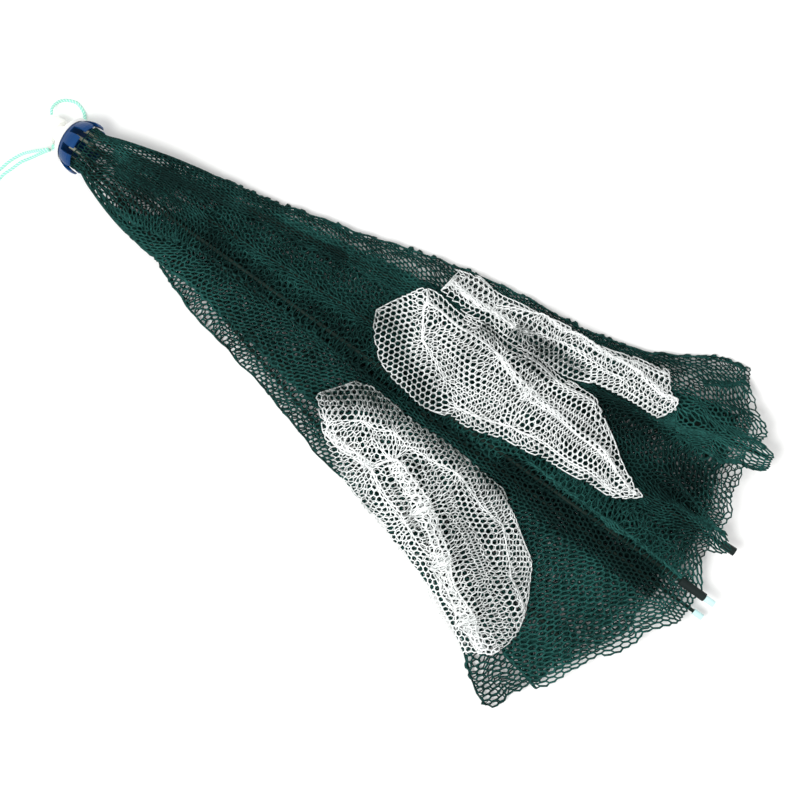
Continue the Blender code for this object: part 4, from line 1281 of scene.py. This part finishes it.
class FISHNET_OT_stage(bpy.types.Operator):
    """Set the floor, the soft lights, and the camera straight above the net"""

    bl_idname = "fishnet.stage"
    bl_label = "Floor, lights and camera"

    def execute(self, context):
        colours = context.scene.fishing_net_colours
        bpy.ops.object.select_all(action="DESELECT")
        bpy.ops.mesh.primitive_plane_add(size=FLOOR_SIZE * MM, location=(0, 0, 0))
        floor = context.object
        floor.name = "floor"
        made, tree, shader = new_finish("floor_paper", 0.9)
        tone = noise(tree, place_of(tree), 600.0)
        pale = tuple(colours.floor)
        shaded = tuple(c * FLOOR_SHADE for c in pale)
        tree.links.new(mixed(tree, tone, pale, shaded), shader.inputs["Base Color"])
        shader.inputs["Specular IOR Level"].default_value = 0.1
        floor.data.materials.append(made)
        middle = np.array([*FRAME_MIDDLE, 0.0]) - BOX_MIDDLE
        right = Vector((math.cos(FRAME_TURN), math.sin(FRAME_TURN), 0))
        up = Vector((-math.sin(FRAME_TURN), math.cos(FRAME_TURN), 0))
        for name, to_right, to_up, height, size, power in LIGHTS:
            place = (to_right * right + to_up * up + Vector((0, 0, height))) * MM
            light = bpy.data.lights.new(name, "AREA")
            light.shape = "DISK"
            light.size = size * MM
            light.energy = power
            lamp = bpy.data.objects.new(name, light)
            context.scene.collection.objects.link(lamp)
            lamp.location = place
            lamp.rotation_euler = place.to_track_quat("Z", "Y").to_euler()
        world = bpy.data.worlds.new("soft_studio")
        world.use_nodes = True
        background = world.node_tree.nodes["Background"]
        background.inputs["Color"].default_value = (1, 1, 1, 1)
        background.inputs["Strength"].default_value = WORLD_LIGHT
        context.scene.world = world
        context.scene.view_settings.view_transform = "Standard"
        lens = bpy.data.cameras.new("camera")
        lens.angle = 2 * math.atan(HALF_FRAME / CAMERA_HEIGHT)
        camera = bpy.data.objects.new("camera", lens)
        context.scene.collection.objects.link(camera)
        camera.location = Vector(middle * MM) + Vector((0, 0, CAMERA_HEIGHT * MM))
        camera.rotation_euler = (0, 0, FRAME_TURN)
        context.scene.camera = camera
        return {"FINISHED"}


class FISHNET_OT_cords(bpy.types.Operator):
    """Braid the cord over the knob, the doubled hand loop and its knot"""

    bl_idname = "fishnet.cords"
    bl_label = "Pull cord"

    def execute(self, context):
        sizes, colours = context.scene.fishing_net_sizes, context.scene.fishing_net_colours
        finish = braid_finish(
            "mint_polyester_braid", tuple(colours.cord), tuple(colours.fleck), sizes.strand
        )
        turn = np.linspace(0, 2 * math.pi, KNOT_STEPS, endpoint=False)
        knot = np.stack(
            [
                np.sin(turn) + 2 * np.sin(2 * turn),
                np.cos(turn) - 2 * np.cos(2 * turn),
                -1.1 * np.sin(3 * turn),
            ],
            axis=1,
        )
        centres = np.array(KNOT_AT) + knot * KNOT_RADIUS * KNOT_SPREAD
        overhand = tube("overhand_knot", centres, KNOT_RADIUS * KNOT_CORD, KNOT_SIDES)
        dressed(overhand, finish, "mint_cord", "cord_knot")
        for name, node, route in (
            ("bridge_braid", "bridge_cord", BRIDGE_ROUTE),
            ("hand_loop_braid", "hand_loop", LOOP_ROUTE),
        ):
            centres = smooth_route(route, CORD_STEP)
            piece = tube(name, centres, sizes.cord / MM / 2, CORD_SIDES)
            dressed(piece, finish, "mint_cord", node)
            path = (centres - BOX_MIDDLE) * MM
            tuple(path[0])
        return {"FINISHED"}


class FISHNET_OT_cover(bpy.types.Operator):
    """Knit the cover's eight gores, folded back and forth round the ribs"""

    bl_idname = "fishnet.cover"
    bl_label = "Green cover"

    def execute(self, context):
        sizes, colours = context.scene.fishing_net_sizes, context.scene.fishing_net_colours
        # The light green is painted light on the cover's ridges; the dark green is painted shade.
        green, worn_and_lit = tuple(colours.green), tuple(colours.green_lit)
        finish = knitted_finish(
            "green_polyester_netting", green, worn_and_lit, middle=0.27, reach=0.45, gloss=0.05
        )
        yarn = sizes.green_yarn * INNER_YARN
        for k, (points, cells, thick, width, area) in enumerate(cover_pieces(sizes.cell / MM)):
            name = f"cover_net_{k + 1}"
            piece = knitted(name, points, cells, yarn, GREEN_HEIGHT, COVER_PAINTED_LIGHT, thick)
            dressed(piece, finish, "green_netting", "cover")
        return {"FINISHED"}


class FISHNET_OT_funnels(bpy.types.Operator):
    """Knit the three white entrance funnels that lie flattened on the cover"""

    bl_idname = "fishnet.funnels"
    bl_label = "White entrance funnels"

    def execute(self, context):
        sizes, colours = context.scene.fishing_net_sizes, context.scene.fishing_net_colours
        # The dark white is painted shade on the funnels' folds; white is reached on their lit
        # ridges.
        shaded_white, white = tuple(colours.white_in_shade), tuple(colours.white)
        finish = knitted_finish(
            "white_polyester_netting", shaded_white, white, middle=0.72, reach=0.6, gloss=0.2
        )
        yarn = sizes.white_yarn * RIDGE_YARN
        for name, node, table, turn, folds in FUNNELS:
            made = funnel_cells(table, turn, folds, sizes.cell / MM)
            points, cells, thick, width, length, area = made
            piece = knitted(name, points, cells, yarn, WHITE_HEIGHT, FUNNEL_PAINTED_LIGHT, thick)
            dressed(piece, finish, "white_netting", node)
        return {"FINISHED"}


class FISHNET_OT_hub(bpy.types.Operator):
    """Give the hub and the cap their moulded plastics"""

    bl_idname = "fishnet.hub"
    bl_label = "Hub and cap"

    def execute(self, context):
        colours = context.scene.fishing_net_colours
        blue, worn_blue = tuple(colours.blue), linear("#174a86")
        cap, worn_cap = tuple(colours.cap), linear("#e4e4dc")
        refinished("hub", moulded_finish("blue_moulded_plastic", blue, 0.3, worn_blue, 4.0, 0.2))
        refinished("cap", moulded_finish("white_moulded_plastic", cap, 0.32, worn_cap, 6.0))
        return {"FINISHED"}


class FISHNET_OT_ribs(bpy.types.Operator):
    """Give the ribs, their rubber sleeves and their clear tips their finishes"""

    bl_idname = "fishnet.ribs"
    bl_label = "Ribs, sleeves and tips"

    def execute(self, context):
        colours = context.scene.fishing_net_colours
        rod = drawn_finish("glass_fibre_rod", tuple(colours.rod), tuple(colours.rod_root))
        for row in RIBS:
            refinished("rib_" + row[0], rod)
        dark, worn_dark = tuple(colours.rubber), linear("#26332f")
        aqua, worn_aqua = tuple(colours.tip), linear("#e2f4f2")
        rubber = moulded_finish("dark_rubber", dark, 0.6, worn_dark, 3.0, 0.15)
        tip = moulded_finish("aqua_plastic_tip", aqua, 0.25, worn_aqua, 3.0)
        for node in ("ferrule_b", "ferrule_c"):
            refinished(node, rubber)
        for node in ("tip_c", "tip_d"):
            refinished(node, tip)
        return {"FINISHED"}


class FISHNET_PT_parts(bpy.types.Panel):
    """The fishing net's parts, in making order"""

    bl_idname = "FISHNET_PT_parts"
    bl_label = "Fishing net"
    bl_space_type = "VIEW_3D"
    bl_region_type = "UI"
    bl_category = "Fishing net"

    def draw(self, context):
        for group in (context.scene.fishing_net_sizes, context.scene.fishing_net_colours):
            box = self.layout.box()
            for name in group.bl_rna.properties.keys():
                if name not in ("rna_type", "name"):
                    box.prop(group, name)
        for operator in OPERATORS:
            self.layout.operator(operator.bl_idname)


OPERATORS = (
    FISHNET_OT_stage,
    FISHNET_OT_cords,
    FISHNET_OT_cover,
    FISHNET_OT_funnels,
    FISHNET_OT_hub,
    FISHNET_OT_ribs,
)
CLASSES = (FishingNetSizes, FishingNetColours, *OPERATORS, FISHNET_PT_parts)


def register():
    for cls in CLASSES:
        bpy.utils.register_class(cls)
    bpy.types.Scene.fishing_net_sizes = bpy.props.PointerProperty(type=FishingNetSizes)
    bpy.types.Scene.fishing_net_colours = bpy.props.PointerProperty(type=FishingNetColours)


def unregister():
    del bpy.types.Scene.fishing_net_colours
    del bpy.types.Scene.fishing_net_sizes
    for cls in reversed(CLASSES):
        bpy.utils.unregister_class(cls)


def main():
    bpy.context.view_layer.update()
    register()
    bpy.ops.fishnet.stage()
    bpy.ops.fishnet.cords()
    bpy.ops.fishnet.cover()
    bpy.ops.fishnet.funnels()
    bpy.ops.fishnet.hub()
    bpy.ops.fishnet.ribs()


if __name__ == "__main__":
    main()
